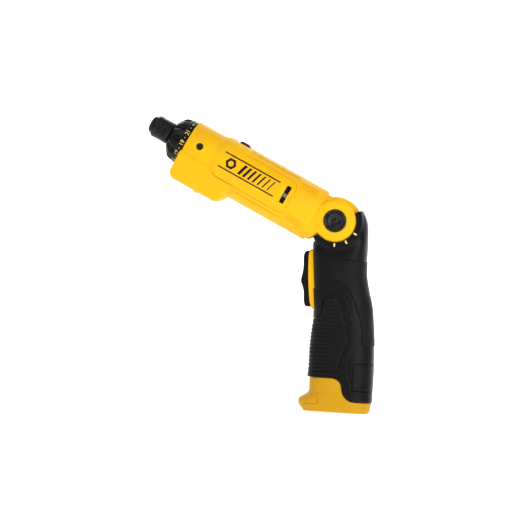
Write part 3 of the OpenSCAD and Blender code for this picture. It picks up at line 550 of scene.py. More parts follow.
# The grip between two heights, drawn in by an inset, with a relief of small raised and sunk shapes
def gripForm(name, top, low, inset, relief=None, step=None, sides=None, sections=grip["sections"]):
    sides = sides or grip["sides"]
    count = max(2, int(round((top - low) / (step or grip["step"]))) + 1)
    heights = np.linspace(top, low, count)
    front, rear, half, square = (sectionAt(heights, column, sections) for column in (1, 2, 3, 4))
    front, rear, half = front - inset, rear + inset, half - inset
    deselect()
    bpy.ops.mesh.primitive_cylinder_add(vertices=sides, radius=1, depth=1, enter_editmode=True)
    pickEdges(lambda a, b: abs(a.z - b.z) > 0.5)
    bpy.ops.mesh.subdivide(number_cuts=count - 2)
    obj = named(endEdit(), name)
    fine = np.linspace(0, 2 * np.pi, 1441)
    rows = []
    for f, r, b, n, z in zip(front, rear, half, square, heights):
        c, s = np.cos(fine), np.sin(fine)
        x = (f + r) / 2 + (f - r) / 2 * np.sign(c) * np.abs(c) ** (2 / n)
        y = b * np.sign(s) * np.abs(s) ** (2 / n)
        run = np.concatenate([[0], np.cumsum(np.hypot(np.diff(x), np.diff(y)))])
        at = np.linspace(0, run[-1], sides, endpoint=False)
        rows.append(np.stack([np.interp(at, run, x), np.interp(at, run, y), np.full(sides, z)], 1))
    rows = np.array(rows)
    if relief:
        tangent = np.roll(rows, -1, 1) - np.roll(rows, 1, 1)
        normal = np.stack([tangent[..., 1], -tangent[..., 0]], -1)
        normal /= np.linalg.norm(normal, axis=-1, keepdims=True)
        rows[..., :2] += normal * relief(rows[..., 0], rows[..., 1], rows[..., 2])[..., None]
    for vertex in obj.data.vertices:
        k = int(round((0.5 - vertex.co.z) * (count - 1)))
        i = int(round(math.atan2(vertex.co.y, vertex.co.x) / (2 * math.pi) * sides)) % sides
        vertex.co = rows[k][i]
    return outward(obj)


# A valley that sets the rim apart, and a shallow waist between the pads
def shellRelief(x, y, z):
    flank = ramp(np.abs(y), 8.0, 12.5)
    fromRim = np.hypot(x, z)
    valley = ramp(fromRim, 18.4, 19.4) * (1 - ramp(fromRim, 21.0, 26.0))
    return -flank * (0.9 * valley + 0.12 * ramp(z, -20, -30))


# The S-shaped line between the handle and the foot, level at the front and at the rear
def footLine(frontRadius, rearRadius, level):
    return ([(60, -108.9), (-5.1, -108.9)] + arcPoints(-5.1, -115.2, frontRadius, 90, 180, 12)
            + arcPoints(-21.1, -115.3, rearRadius, 0, -90, 12) + [(-60, level)])


# The handle's two halves in one piece: the grip, the rim around the fold joint and the raised lip
shell = gripForm("handleShell", *grip["span"], 0.0, shellRelief)
rim = bar("rim", 0, 0, -grip["rimFace"], grip["rimFace"], grip["rim"], 160)
softEdges(rim, 0.9, 4, 60)
join(shell, rim)
lip = gripForm("gripLip", -44, -124, -grip["lip"], None, 1.2, 144)
join(shell, both(lip, plate("lipOutline", smoothLoop(lipEdge, 1), -40, 40)))
for side in (-1, 1):
    low, high = onSide(side, grip["rimDish"], 30)
    cut(shell, bar("rimDish", 0, 0, low, high, grip["rimBead"], 128))

# The barrel's cheeks sit in front of the rim, so the rim is cut away there and ends round
sector = [(0.0, 0.0)] + [(-80 * math.cos(math.radians(a)), 80 * math.sin(math.radians(a)))
                         for a in np.linspace(grip["rimStart"], grip["rimEnd"], 9)]
cut(shell, plate("sector", sector, -30, 30))
middle = (grip["rim"] + grip["rimInner"]) / 2
endAt = math.radians(grip["rimEnd"])
for side in (-1, 1):
    low, high = onSide(side, grip["knuckle"], grip["rimDish"])
    join(shell, bar("rimEnd", -middle * math.cos(endAt), middle * math.sin(endAt), low, high,
                    grip["rimEndRadius"], 48))
join(shell, bar("tongue", 0, 0, -grip["tongue"], grip["tongue"], grip["tongueRadius"], 128))
for side in (-1, 1):
    low, high = onSide(side, grip["tongue"], grip["knuckle"])
    cut(shell, bar("pocket", 0, 0, low, high, grip["pocket"], 128))
    low, high = onSide(side, grip["tongue"], 30)
    cut(shell, bar("cheekSpace", 0, 0, low, high, grip["rimInner"], 128))
cut(shell, bar("pinHole", 0, 0, -30, 30, grip["pinHole"], 48))

# The inside, the openings, the recesses under the pads, the seam and the screw wells
cut(shell, gripForm("cavity", -21, -140, grip["wall"], None, 2.5, 64))
cut(shell, plate("footTool", footLine(6.3, 9.4, -124.7) + [(-60, -160), (60, -160)], -40, 40))
cut(shell, block("triggerOpening", *grip["triggerOpening"]))
padFloor = gripForm("padFloor", -15, -130, grip["padDepth"], None, 1.5, 96)
for name, outline in (("frontRecess", frontPad), ("heelRecess", heelPad)):
    cut(shell, combine(plate(name, outline, -40, 40), padFloor, "DIFFERENCE", keep=True))
for side in (-1, 1):
    low, high = onSide(side, grip["windowInner"], 40)
    cut(shell, plate("releaseWindow", roundedBox(*grip["window"]), low, high))
partingCore = join(gripForm("partingCore", 8.4, -140, 0.3, None, 1.5, 96),
                   bar("rimCore", 0, 0, -25, 25, grip["rim"] - 0.3, 128))
cut(shell, combine(block("partingLine", (-60, -grip["parting"], -140), (60, grip["parting"], 40)),
                   partingCore, "DIFFERENCE"))
for x, z in grip["screws"]:
    cut(shell, bar("screwWell", x, z, -40, -10.5, 2.8, 40))
settle(shell, handleFrame, "handle", finish["black_shell"],
       ("handle_left", "handle_right"), 30)
print("handle shell", len(shell.data.polygons))


# Grip pads, a little narrower than their recesses
pads = {"proud": 0.4, "gapAround": 0.3, "edgeDrop": 0.45, "ribTop": -55.6, "ribLow": -103.2,
        "ribPitch": 2.72, "ribSink": 0.5}


# The rounding of a pad towards its outline
def edgeDrop(outline, x, z):
    return pads["edgeDrop"] * (1 - ramp(insideBy(outline, x, z), 0.2, 1.1))


# Level ribs across the front pad, which stop short of its edge
def padRelief(x, y, z):
    pitch = pads["ribPitch"]
    phase = np.abs(((pads["ribTop"] - z) / pitch) % 1 - 0.5) * 2
    groove = ramp(phase, 0.55, 0.8)
    within = ramp(insideBy(frontPad, x, z), 2.6, 3.3) * (z < pads["ribTop"]) * (z > pads["ribLow"])
    return pads["proud"] - pads["ribSink"] * groove * within - edgeDrop(frontPad, x, z)


def heelRelief(x, y, z):
    return pads["proud"] - edgeDrop(heelPad, x, z)


padBack = copyOf(padFloor, "padBack")
frontGrip = gripForm("frontGripPad", -51.9, -106.5, 0.0, padRelief, 0.3, 176)
both(frontGrip, plate("frontOutline", drawnIn(frontPad, pads["gapAround"]), -40, 40))
cut(frontGrip, padFloor)
settle(frontGrip, handleFrame, "handle", finish["grip_rubber"], ("front_grip",), 40)
heelGrip = gripForm("heelGripPad", -25.8, -87.5, 0.0, heelRelief, 0.5, 160)
both(heelGrip, plate("heelOutline", drawnIn(heelPad, pads["gapAround"]), -40, 40))
cut(heelGrip, padBack)
settle(heelGrip, handleFrame, "handle", finish["grip_rubber"], ("heel_pad",), 30)
print("pads", len(frontGrip.data.polygons), len(heelGrip.data.polygons))


# Battery release buttons, with two rows of small ridges
release = {"box": (-45, -18.75, -116.95, -98.5), "corner": 1.9, "proud": 0.12, "thick": 2.2, "inner": 4.0,
           "rows": ((-113.6, 5, 0.7), (-115.7, 5, 0.5)), "first": -20.6, "pitch": 1.45, "bar": 0.95,
           "ridge": 0.5}
ridgeOut = -release["proud"] - release["ridge"]
for side, name in ((1, "left"), (-1, "right")):
    button = gripForm(name + "Release", -90, -125, -release["proud"], None, 1.2, 96)
    low, high = onSide(side, release["inner"], 40)
    both(button, plate("releaseFace", roundedBox(*release["box"], release["corner"]), low, high))
    for height, count, half in release["rows"]:
        for k in range(count):
            x = release["first"] - k * release["pitch"]
            ridge = gripForm("ridge", height + half, height - half, ridgeOut, None, half, 96)
            low, high = onSide(side, 8, 40)
            both(ridge, plate("ridgeFace", roundedBox(
                x - release["bar"], x, height - half, height + half, min(half, 0.3), 3), low, high))
            join(button, ridge)
    cut(button, gripForm("releaseBack", -85, -130, release["thick"], None, 3, 64))
    settle(button, handleFrame, "release_" + name, finish["black_shell"],
           ("release_" + name,), 30)
print("release buttons")


# Trigger rocker: its side view around its pin
rocker = {
    "at": (11.5, -41.0), "half": 7.9, "round": 1.3, "crown": 0.5, "back": 13.0, "length": 19.6, "hub": 3,
    "bore": 1.32, "rib": {"rise": 11, "from": 10.6, "to": 13.5, "half": 2},
    "face": [(17.0, 19.6), (19.6, 19.2), (21.0, 17.6), (21.4, 14.5), (21.2, 10.0), (21.3, 6.0), (21.8, 2.5),
             (22.35, -0.6), (22.2, -2.8), (21.2, -5.2), (20.3, -8.0), (19.9, -11.0), (19.75, -14.0),
             (19.3, -17.2), (18.3, -19.2), (16.6, -19.6)],
}


# An open line through points, rounded between them
def smoothLine(points, count):
    points = [points[0]] + points + [points[-1]]
    made = []
    for a, b, c, d in zip(points, points[1:], points[2:], points[3:]):
        for i in range(count):
            t = i / count
            made.append(tuple(0.5 * (2 * q + (r - p) * t + (2 * p - 5 * q + 4 * r - s) * t * t
                                     + (3 * q - p - 3 * r + s) * t ** 3) for p, q, r, s in zip(a, b, c, d)))
    return made + [points[-1]]


pinX, pinZ = rocker["at"]
back, length = rocker["back"], rocker["length"]
outline = [(back, -length), (back, length)] + smoothLine(rocker["face"], 5)
trigger = plate("triggerRocker", [(x, z + pinZ) for x, z in outline], -rocker["half"], rocker["half"])
softEdges(trigger, rocker["round"], 5, 62)
for vertex in trigger.data.vertices:
    if vertex.co.x > 16:
        vertex.co.x -= rocker["crown"] * (vertex.co.y / rocker["half"]) ** 2
rib = rocker["rib"]
for side in (-1, 1):
    height = pinZ + side * rib["rise"]
    join(trigger, block("plungerRib", (rib["from"], -rib["half"], height - 1),
                        (rib["to"], rib["half"], height + 1)))
join(trigger, bar("pinHub", pinX, pinZ, -rocker["half"] + 1, rocker["half"] - 1, rocker["hub"], 48))
cut(trigger, bar("pinBore", pinX, pinZ, -20, 20, rocker["bore"], 32))
settle(trigger, handleFrame, "trigger", finish["black_shell"], ("trigger",), 35)

# The yellow frame around the trigger
surround = {"half": 9.35, "low": -62.7, "high": -20.05, "corner": 3.0, "slot": (8.4, 20.2, 2.5), "back": 7.6,
            "front": [(11.6, -62.7), (13.6, -60.9), (14.9, -57), (15.9, -50), (16.7, -42), (17.2, -34),
                      (17.4, -27), (17.2, -22.6), (16.3, -20.8), (14.5, -20.05)]}
half, low, high = surround["half"], surround["low"], surround["high"]
bezel = plate("bezel", roundedBox(-half, half, low, high, surround["corner"]), -22, -surround["back"])
slotHalf, slotLong, slotCorner = surround["slot"]
cut(bezel, plate("bezelSlot", roundedBox(
    -slotHalf, slotHalf, pinZ - slotLong, pinZ + slotLong, slotCorner), -40, 0))
bezel.data.transform(Matrix.Rotation(math.radians(90), 4, "Z"))
both(bezel, plate("bezelSide", smoothLine(surround["front"], 6) + [(0, high), (0, low)], -15, 15))
softEdges(bezel, 0.35, 2, 50)
cut(bezel, bar("pinBore", pinX, pinZ, -20, 20, 1.25, 32))
settle(bezel, handleFrame, "handle", finish["yellow_housing"], ("trigger_bezel",), 35)
print("trigger")


# Battery foot, with its own sections down to the toe
foot = {
    "sections": [
        (-108.2, 12.3, -31.85, 18.3, 2.9), (-118.0, 12.3, -31.8, 18.3, 2.9), (-120.4, 13.5, -31.75, 18.3, 3.0),
        (-122.0, 15.9, -31.7, 18.3, 3.1), (-123.3, 18.0, -31.6, 18.3, 3.2), (-124.8, 19.0, -31.5, 18.3, 3.3),
        (-126.8, 19.2, -31.3, 18.3, 3.4), (-129.2, 18.2, -31.0, 18.25, 3.5), (-131.4, 16.3, -30.5, 18.0, 3.6),
        (-132.5, 15.2, -30.0, 17.7, 3.6)],
    "edge": 0.32, "mark": ((13.8, -127.7), (4.8, -127.3), (4.8, -123.1)), "pen": 0.5, "depth": 0.35,
    "cell": {"middle": -8.8, "aside": 8.45, "radius": 9.36, "floor": -129, "length": 40},
}
base = gripForm("batteryFoot", -108.2, -132.5, 0.0, None, 0.5, 176, foot["sections"])
both(base, plate("footSide", footLine(6.0, 9.7, -125.0) + [(-60, -140), (60, -140)], -40, 40))
softEdges(base, foot["edge"], 2, 60)
cell = foot["cell"]
wells = []
for side in (-1, 1):
    deselect()
    bpy.ops.mesh.primitive_cylinder_add(vertices=72, radius=cell["radius"], depth=cell["length"],
                                        enter_editmode=True)
    bpy.ops.transform.translate(value=(
        cell["middle"] + side * cell["aside"], 0, cell["floor"] + cell["length"] / 2))
    wells.append(named(endEdit(), "cellSpace"))
cut(base, *wells)
cut(base, block("cellSpace", (cell["middle"] - cell["aside"], -cell["radius"], cell["floor"]),
                (cell["middle"] + cell["aside"], cell["radius"], cell["floor"] + cell["length"])))
groove = join(plate("footGroove", stroke(foot["mark"][:2], foot["pen"]), -40, 40),
              plate("footGroove", stroke(foot["mark"][1:], foot["pen"]), -40, 40))
cut(base, cut(groove, gripForm("footCore", -108.0, -132.6, foot["depth"], None, 0.7, 144, foot["sections"])))
settle(base, handleFrame, "battery", finish["foot_yellow"], ("battery_foot",), 32)
print("foot")


# Barrel housing, both halves in one piece. Measures along the barrel and above its axis, in millimetres
housing = {
    "turned": [(12, 17.0), (14, 17.5), (14.8, 18.7), (15.6, 19.05), (91.8, 19.05), (92.6, 18.9), (93.4, 18.6),
               (96.8, 17.5), (97.6, 17.4), (117.0, 17.4), (117.5, 17.1), (117.6, 16.7)],
    "sides": 160, "bore": [(20, 17.0), (95, 17.0), (97, 15.4), (130, 15.4)],
    "chin": {"front": 118.3, "low": -26.5, "half": 15.0, "corner": 5.0, "edge": 7.0, "top": -4,
             "shoulder": [(17.2, -10.0), (17.15, -8.8), (16.9, -7.7), (16.5, -6.8), (15.9, -6.1),
                          (14.5, -5.0)],
             "heel": [(75.0, -15.0), (76.2, -19.2), (78.0, -22.4), (79.4, -24.4), (81.0, -25.8),
                      (83.2, -26.5)],
             "innerHeel": [(75.4, -14.8), (76.5, -19.0), (78.3, -22.2), (79.7, -24.1), (81.1, -25.5),
                           (83.2, -26.2)]},
    "drop": 3.6, "cheekIn": 7.8, "knuckle": (12.9, 16.8), "neckOut": 17.0, "pinHole": 4.0, "capSeat": 8.05,
    "cheek": [(7.8, 14.8), (16.4, 14.8), (16.9, 14.5), (17.3, 13.8), (17.7, 12.9), (17.9, 12.0),
              (18.0, 11.0)],
    "vent": (37.3, 40.7, -4.0, 9.0), "screwHole": (107.7, 2.5, 2.55), "parting": 0.12, "pen": 0.4,
    "screws": ((24, 16.2), (60, 16.2), (24, -16.2), (60, -16.2)), "chinScrew": (87, -21),
    "skin": [(10, 18.78), (92.0, 18.78), (95.4, 17.7), (98.2, 17.12), (140, 17.12)],
    "panelSeam": [(91.3, -7.0), (90.9, -9.0), (89.4, -10.3), (38.5, -10.5), (35.8, -9.6), (34.4, -7.0),
                  (34.2, 9.0), (35.4, 12.0), (38.0, 13.2), (75, 13.4)],
    "topSeam": [(36, 16.9), (70, 16.9), (75, 17.4)], "lowSeam": [(34.5, -13.2), (74, -13.2)],
    "rearSeams": (12.6, 14.0, 15.4, -8.4, -10.2, -12.0), "rearSeamSpan": (20, 32.5),
    "seats": {"gaugeSeat": ((77.6, -4.1, 12), (86.1, 4.1, 40)),
              "gaugeStep": ((86.0, -5.5, 17.75), (88.8, 5.5, 40)),
              "lensSeat": ((94.4, -3.6, -30), (98.8, 3.6, -20)),
              "chinStep": ((98.7, -5.5, -30), (103, 5.5, -25.7))},
}
chin = housing["chin"]


# Side view of the chin between its heel and its rounded front, drawn in by an inset
def chinOutline(heel, inset, top):
    corner = chin["corner"]
    front, low = chin["front"] - inset, chin["low"] + inset
    return (heel + arcPoints(front - corner, low + corner, corner, 270, 360, 10)
            + [(front, top), (heel[0][0], top)])


body = turnAlong("housing", housing["turned"], housing["sides"])
edge = chin["edge"]
chinEnd = (arcPoints(-chin["half"] + edge, chin["low"] + edge, edge, 180, 270, 10)
           + arcPoints(chin["half"] - edge, chin["low"] + edge, edge, 270, 360, 10)
           + chin["shoulder"] + [(-y, z) for y, z in chin["shoulder"][::-1]])
chinForm = plate("chin", chinOutline(chin["heel"], 0, chin["top"]), -30, 30)
across = plate("chinEnd", chinEnd, -130, -60)
across.data.transform(Matrix.Rotation(math.radians(90), 4, "Z"))
join(body, both(chinForm, across))

# Cheeks around the fold joint, with the space for the handle's tongue between them
hub = housing["drop"]
cheekIn = housing["cheekIn"]
knuckleOut, knuckleRadius = housing["knuckle"]
for side in (-1, 1):
    cheek = turn("cheek", housing["cheek"], 128)
    cheek.data.transform(Matrix.Translation((0, 0, hub)) @ Matrix.Rotation(math.radians(-90 * side), 4, "X"))
    low, high = onSide(side, cheekIn, knuckleOut)
    join(cheek, bar("knuckle", 0, hub, low, high, knuckleRadius, 128))
    low, high = onSide(side, cheekIn, housing["neckOut"])
    neck = plate("neck", [(0, hub + 13), (9.6, hub + 14), (17, hub + 15.6), (17, hub - 22), (12, hub - 21),
                          (8.9, hub - 17.4), (6.6, hub - 13), (0, hub - 13)], low, high)
    neckRound = turnAlong("neckRound", [(-1, 18.75), (18, 18.75)], 128)
    join(cheek, both(neck, neckRound))
    join(body, cheek)
cut(body, bar("tongueSpace", 0, hub, -cheekIn, cheekIn, 16.7, 128))
cut(body, block("rearSpace", (-60, -cheekIn, -60), (0, cheekIn, 60)))
cut(body, bar("pinHole", 0, hub, -30, 30, housing["pinHole"], 48))
for side in (-1, 1):
    low, high = onSide(side, housing["neckOut"], 30)
    cut(body, bar("capSeat", 0, hub, low, high, housing["capSeat"], 96))
cut(body, turnAlong("bore", housing["bore"], 96))
cut(body, turnAlong("collarSpace", [(117.6, 16.6), (140, 16.6)], 128))

# Vent, side holes, screw wells on the right, and the seats of the gauge window and the worklight
at, height, radius = housing["screwHole"]
for side in (-1, 1):
    low, high = onSide(side, 12, 30)
    cut(body, bar("sideHole", at, height, low, high, radius, 48))
    cut(body, plate("vent", roundedBox(*housing["vent"], 0.5, 4), low, high))
for s, z in housing["screws"]:
    cut(body, bar("screwWell", s, z, -30, -7, 2.0, 32))
cut(body, bar("screwWell", *housing["chinScrew"], -30, -11, 2.0, 32))
for name, (lowCorner, highCorner) in housing["seats"].items():
    cut(body, block(name, lowCorner, highCorner))

# Fine grooves, cut down to a skin inside the surface, and the seam between the halves
skin = turnAlong("skin", housing["skin"], 128)
seamFrom, seamTo = housing["rearSeamSpan"]
seams = [housing["panelSeam"], housing["topSeam"], housing["lowSeam"]]
seams += [[(seamFrom, height), (seamTo, height)] for height in housing["rearSeams"]]
for path in seams:
    cut(body, combine(plate("seam", stroke(path, housing["pen"]), -30, 30), skin, "DIFFERENCE", keep=True))
join(skin, plate("partingChin", chinOutline(chin["innerHeel"], 0.3, 0), -20, 20))
cut(body, cut(block("partingLine", (10, -housing["parting"], -40), (130, housing["parting"], 40)), skin))
settle(body, barrelFrame, "barrel", finish["yellow_housing"],
       ("housing_left", "housing_right"), 32)
print("housing", len(body.data.polygons))

# Recessed screws in the barrel's sides
sideScrew = turn("sideScrews", [(15.2, 2.4), (16.0, 2.4), (16.3, 2.1), (16.3, 1.25), (16.08, 1.2)], 32)
sideScrew.data.transform(Matrix.Translation((107.7, 0, 2.5)) @ Matrix.Rotation(math.radians(-90), 4, "X"))
screws = gather("sideScrews", [sideScrew, mirrored(sideScrew, "sideScrewTwin")])
settle(screws, barrelFrame, "barrel", finish["cap_black"], (), 35)

# Black strips inside the vents, at both ends of each: painted shade where the curved motor can behind them turns
# dark
ventShadeTube = turnAlong("ventShadeTube", [(36.6, 16.9), (41.4, 16.9), (41.4, 17.6), (36.6, 17.6)], 128, hollow=True)
ventShadeStrips = []
for low, high in ((-4.4, 0.4), (4.6, 9.4)):
    for side in (-1, 1):
        inner, outer = onSide(side, 8, 30)
        ventShadeStrips.append(both(copyOf(ventShadeTube, "ventShadeStrip"), plate("ventShadeFace", [
            (36.9, low), (41.1, low), (41.1, high), (36.9, high)], inner, outer)))
bpy.data.objects.remove(ventShadeTube)
settle(gather("ventPaintedShade", ventShadeStrips), barrelFrame, "barrel", finish["black_shell"], (), 30)

# Gauge window on top and worklight lens under the chin
window = block("gaugeWindow", (77.75, -3.9, 17.2), (85.95, 3.9, 21))
hump = turnAlong("hump", [(70, 18.6), (77.6, 19.2), (78.6, 20.1), (80, 20.45), (84, 20.45), (85.5, 19.9),
                          (90, 18.8)], 128)
both(window, hump)
softEdges(window, 0.45, 3, 50)
settle(window, barrelFrame, "barrel", finish["smoked_lens"], ("gauge_window",), 40)

lensNub = block("worklightLens", (94.6, -3.4, -27.05), (98.6, 3.4, -23.5))
softEdges(lensNub, 0.7, 4, 50)
settle(lensNub, barrelFrame, "barrel", finish["smoked_lens"], ("worklight_lens",), 40)

# Caps over the ends of the fold pin
capSteps = [(17.05, 7.95), (18.4, 7.95), (18.75, 7.75), (18.95, 7.4), (18.95, 6.7), (18.75, 6.35), (18.35, 6.2),
            (18.35, 5.75), (18.95, 5.55), (19.25, 5.2), (19.25, 4.3), (19.05, 3.9), (18.2, 3.5), (18.05, 3.2),
            (18.05, 1.7), (18.5, 1.35), (18.6, 0.4)]
for side, name in ((1, "left"), (-1, "right")):
    cap = turn(name + "PivotCap", capSteps, 96)
    cap.data.transform(Matrix.Rotation(math.radians(-90 * side), 4, "X"))
    settle(cap, handleFrame, "barrel", finish["cap_black"], ("pivot_cap_" + name,), 40)

# Index marks set into the rim on both sides
marks = {"angles": (-88.0, -59.0, -30.0), "from": 15.5, "to": 18.1, "width": 1.15}
strips = []
for degrees in marks["angles"]:
    turnBy = math.radians(degrees)
    out = Vector((-math.cos(turnBy), math.sin(turnBy)))
    flat = Vector((-out.y, out.x)) * marks["width"] / 2
    a, b = out * marks["from"], out * marks["to"]
    for side in (-1, 1):
        low, high = onSide(side, 17.0, grip["rimDish"] + 0.06)
        corners = [tuple(a - flat), tuple(a + flat), tuple(b + flat), tuple(b - flat)]
        strip = plate("rimMarks", corners, low, high)
        softEdges(strip, 0.12, 2, 60)
        strips.append(strip)
settle(gather("rimMarks", strips), handleFrame, "handle", creamPaint, (), 40)
print("caps and marks")


# Printed graphic on both sides of the barrel: two lines, a hexagonal nut and slanted stripes
label = {"lines": ((46, 90, 8.3), (46, 90, -2.7)), "pen": 0.95, "ink": (19.0, 19.13),
         "hexAt": (82.5, 2.8), "hexSize": 4.1, "bars": 7, "barFrom": 73.5, "barPitch": 3.7,
         "barWide": 2.1, "slant": 2.4, "barLow": -1.1, "barHigh": 6.7}
prints = []
for s0, s1, height in label["lines"]:
    prints.append(block("line", (s0, -30, height - label["pen"] / 2), (s1, 30, height + label["pen"] / 2)))
hexX, hexZ = label["hexAt"]
hexagon = plate("hexagon", arcPoints(hexX, hexZ, label["hexSize"], 0, 300, 5), -30, 30)
cut(hexagon, bar("hexagonEye", hexX, hexZ, -40, 40, 2.0, 32))
prints.append(hexagon)
for k in range(label["bars"]):
    at = label["barFrom"] - k * label["barPitch"]
    wide = label["barWide"] * (1 - 0.1 * k)
    topAt = at - label["slant"]
    prints.append(plate("stripe", [(at, label["barLow"]), (at + wide, label["barLow"]),
                                   (topAt + wide, label["barHigh"]), (topAt, label["barHigh"])], -30, 30))
under, over = label["ink"]
inkTube = turnAlong("inkTube", [(40, under), (96, under), (96, over), (40, over)], housing["sides"],
                    hollow=True)
pieces = [both(p, copyOf(inkTube, "inkCopy")) for p in prints]
bpy.data.objects.remove(inkTube)
settle(gather("printedLabel", pieces), barrelFrame, "barrel", printInk, (), 30)
print("label")


# Torque collar with finger lobes beyond its numbered band
collar = {
    "at": 118.0, "sides": 240, "lobes": 10, "sink": 2.7, "bore": 9.4,
    "steps": [(0, 9.4), (0, 16.1), (0.15, 16.28), (3.85, 16.28), (4.05, 16.0), (4.6, 15.9), (5.4, 15.75),
              (6.4, 15.55), (7.4, 15.3), (8.4, 14.95), (9.0, 14.6), (9.6, 13.9), (10.2, 13.1), (11.0, 12.1),
              (11.8, 11.0),
              (12.5, 10.1), (13.0, 9.3), (13.0, 5.7), (10.8, 5.7), (10.8, 9.4)],
    "numerals": ["1", "3", "5", "7", "9", "11", "13", "15", "17", "19", "21"],
    "lastAt": 25.3, "size": 4.2, "lift": 16.33,
}
ring = turn("torqueCollar", collar["steps"], collar["sides"], hollow=True)
for vertex in ring.data.vertices:
    x, y, z = vertex.co
    radius = math.hypot(x, y)
    if z > 4.3 and radius > 10.0:
        wave = math.cos(math.atan2(y, x) * collar["lobes"])
        dip = float(ramp(np.array(-wave), -0.25, 0.85)) * float(ramp(np.array(z), 4.3, 6.2))
        dip *= float(ramp(np.array(radius), 10.0, 13.2))
        scale = (radius - collar["sink"] * dip) / radius
        vertex.co.x, vertex.co.y = x * scale, y * scale
collarPlace = alongBarrel @ Matrix.Translation((0, 0, collar["at"]))
settle(ring, collarPlace, "collar", finish["collar_black"], ("torque_collar",), 38)


# A flat glyph wrapped on the numbered band; it reads with the bit pointing up
def wrapGlyph(obj, degrees):
    for vertex in obj.data.vertices:
        x, y, z = vertex.co
        angle = math.radians(degrees) + x / collar["lift"]
        radius = collar["lift"] + (0.05 if z > 0 else -0.12)
        vertex.co = (-radius * math.sin(angle), radius * math.cos(angle), y + 2.0)
    return obj


glyphs = []
steps = list(reversed(collar["numerals"]))
for k, digits in enumerate(steps):
    deselect()
    bpy.ops.object.text_add(location=(0, 0, 0))
    text = bpy.context.object
    text.data.body = digits
    text.data.size = collar["size"]
    text.data.align_x = "CENTER"
    text.data.align_y = "CENTER"
    text.data.extrude = 0.1
    text.data.offset = 0.03
    bpy.ops.object.convert(target="MESH")
    glyphs.append(wrapGlyph(bpy.context.object, collar["lastAt"] - 30 * k))
for k in range(12):
    deselect()
    bpy.ops.mesh.primitive_cylinder_add(vertices=16, radius=0.36, depth=0.2)
    glyphs.append(wrapGlyph(bpy.context.object, collar["lastAt"] + 15 - 30 * k))
deselect()
bpy.ops.mesh.primitive_cone_add(vertices=4, radius1=1.1, radius2=0.35, depth=0.2)
glyphs.append(wrapGlyph(bpy.context.object, collar["lastAt"] + 30))
settle(gather("collarNumerals", glyphs), collarPlace, "collar", goldPaint, (), 30)
print("collar")


# Chuck sleeve with its fine rings
sleeve = {"at": 131.6, "sides": 144, "patches": 4, "ridges": (3.2, 9.8), "pitch": 1.32, "sink": 0.8}
steps = [(0, 5.25), (0, 7.2), (0.3, 7.55), (0.8, 7.85)]
steps += [(0.8 + 0.16 * i, 7.9) for i in range(1, 68)]
steps += [(12.0, 7.75), (12.6, 7.45), (13.2, 7.05), (13.4, 6.85), (13.4, 6.45), (6, 6.45), (6, 5.25)]
barrelSleeve = turn("chuckSleeve", steps, sleeve["sides"], hollow=True)
for vertex in barrelSleeve.data.vertices:
    x, y, z = vertex.co
    radius = math.hypot(x, y)
    low, high = sleeve["ridges"]
    if radius > 7.8 and low < z < high:
        across = math.cos(math.atan2(y, x) * sleeve["patches"])
        valley = float(ramp(np.array(abs(((z - low) / sleeve["pitch"]) % 1 - 0.5) * 2), 0.35, 0.7))
        dip = sleeve["sink"] * valley * float(ramp(np.array(across), -0.55, -0.3))
        vertex.co.x, vertex.co.y = x * (radius - dip) / radius, y * (radius - dip) / radius
settle(barrelSleeve, alongBarrel @ Matrix.Translation((0, 0, sleeve["at"])), "sleeve",
       finish["sleeve_black"], ("chuck_sleeve",), 35)
print("sleeve")

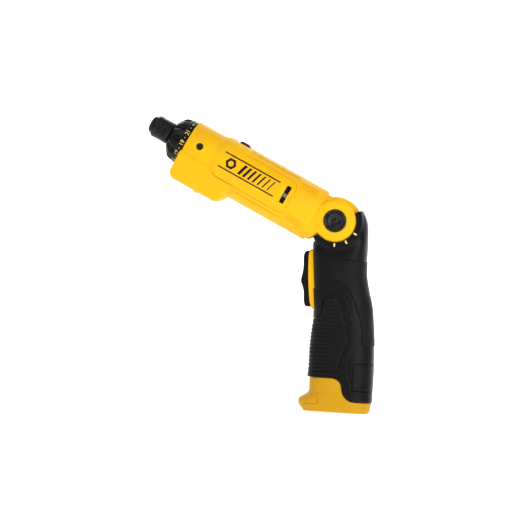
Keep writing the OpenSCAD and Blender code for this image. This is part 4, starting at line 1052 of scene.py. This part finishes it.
# Floor, light and camera
shot = {"distance": 2.0, "yaw": 5.5, "roll": 3.4, "lens": 194.4, "aim": (0.0501, 0.0305)}
deselect()
bpy.ops.mesh.primitive_plane_add(size=6, location=(0, 0, -0.0002))
floor = named(bpy.context.object, "floor")
bpy.ops.mesh.primitive_plane_add(size=8, location=(0, -2.2, 1.5), rotation=(math.radians(90), 0, 0))
backdrop = named(bpy.context.object, "backdrop")
for obj, glow in ((floor, 0.52), (backdrop, 0.8)):
    paper, tree, shader, place = startFinish(obj.name + "LitPaper")
    shader.inputs["Base Color"].default_value = (0.88, 0.88, 0.88, 1)
    shader.inputs["Roughness"].default_value = 0.9
    shader.inputs["Specular IOR Level"].default_value = 0.1
    shader.inputs["Emission Color"].default_value = (1, 1, 1, 1)
    shader.inputs["Emission Strength"].default_value = glow
    obj.data.materials.append(paper)


def softBox(name, place, aim, size, watts):
    light = bpy.data.lights.new(name, "AREA")
    light.shape = "RECTANGLE"
    light.size, light.size_y = size
    light.energy = watts
    obj = bpy.data.objects.new(name, light)
    bpy.context.scene.collection.objects.link(obj)
    obj.location = place
    obj.rotation_euler = (Vector(aim) - Vector(place)).to_track_quat("-Z", "Y").to_euler()
    return obj


softBox("keyLight", (-0.6, 0.85, 0.32), (0.02, 0, 0.11), (0.5, 0.5), 5.5)
softBox("topLight", (0.45, 0.6, 0.9), (0, 0, 0.1), (0.6, 0.6), 2)
softBox("backLight", (0.1, -0.8, 0.8), (0, 0, 0.1), (0.9, 0.6), 2.5)
sky = bpy.data.worlds.new("paleRoom")
sky.use_nodes = True
sky.node_tree.nodes["Background"].inputs["Color"].default_value = (1, 1, 1, 1)
sky.node_tree.nodes["Background"].inputs["Strength"].default_value = 0.36
bpy.context.scene.world = sky
bpy.context.scene.view_settings.view_transform = "Standard"

yaw, roll = math.radians(shot["yaw"]), math.radians(shot["roll"])
look = Vector((math.sin(yaw), -math.cos(yaw), 0))
side = Vector((-math.cos(yaw), -math.sin(yaw), 0))
right = side * math.cos(roll) + Vector((0, 0, 1)) * math.sin(roll)
above = -side * math.sin(roll) + Vector((0, 0, 1)) * math.cos(roll)
aim = pivot - right * shot["aim"][0] - above * shot["aim"][1]
lens = bpy.data.cameras.new("studioCamera")
lens.lens = shot["lens"]
lens.clip_start = 0.01
camera = bpy.data.objects.new("studioCamera", lens)
bpy.context.scene.collection.objects.link(camera)
camera.matrix_world = Matrix((right, above, -look)).transposed().to_4x4()
camera.location = aim - look * shot["distance"]
bpy.context.scene.camera = camera
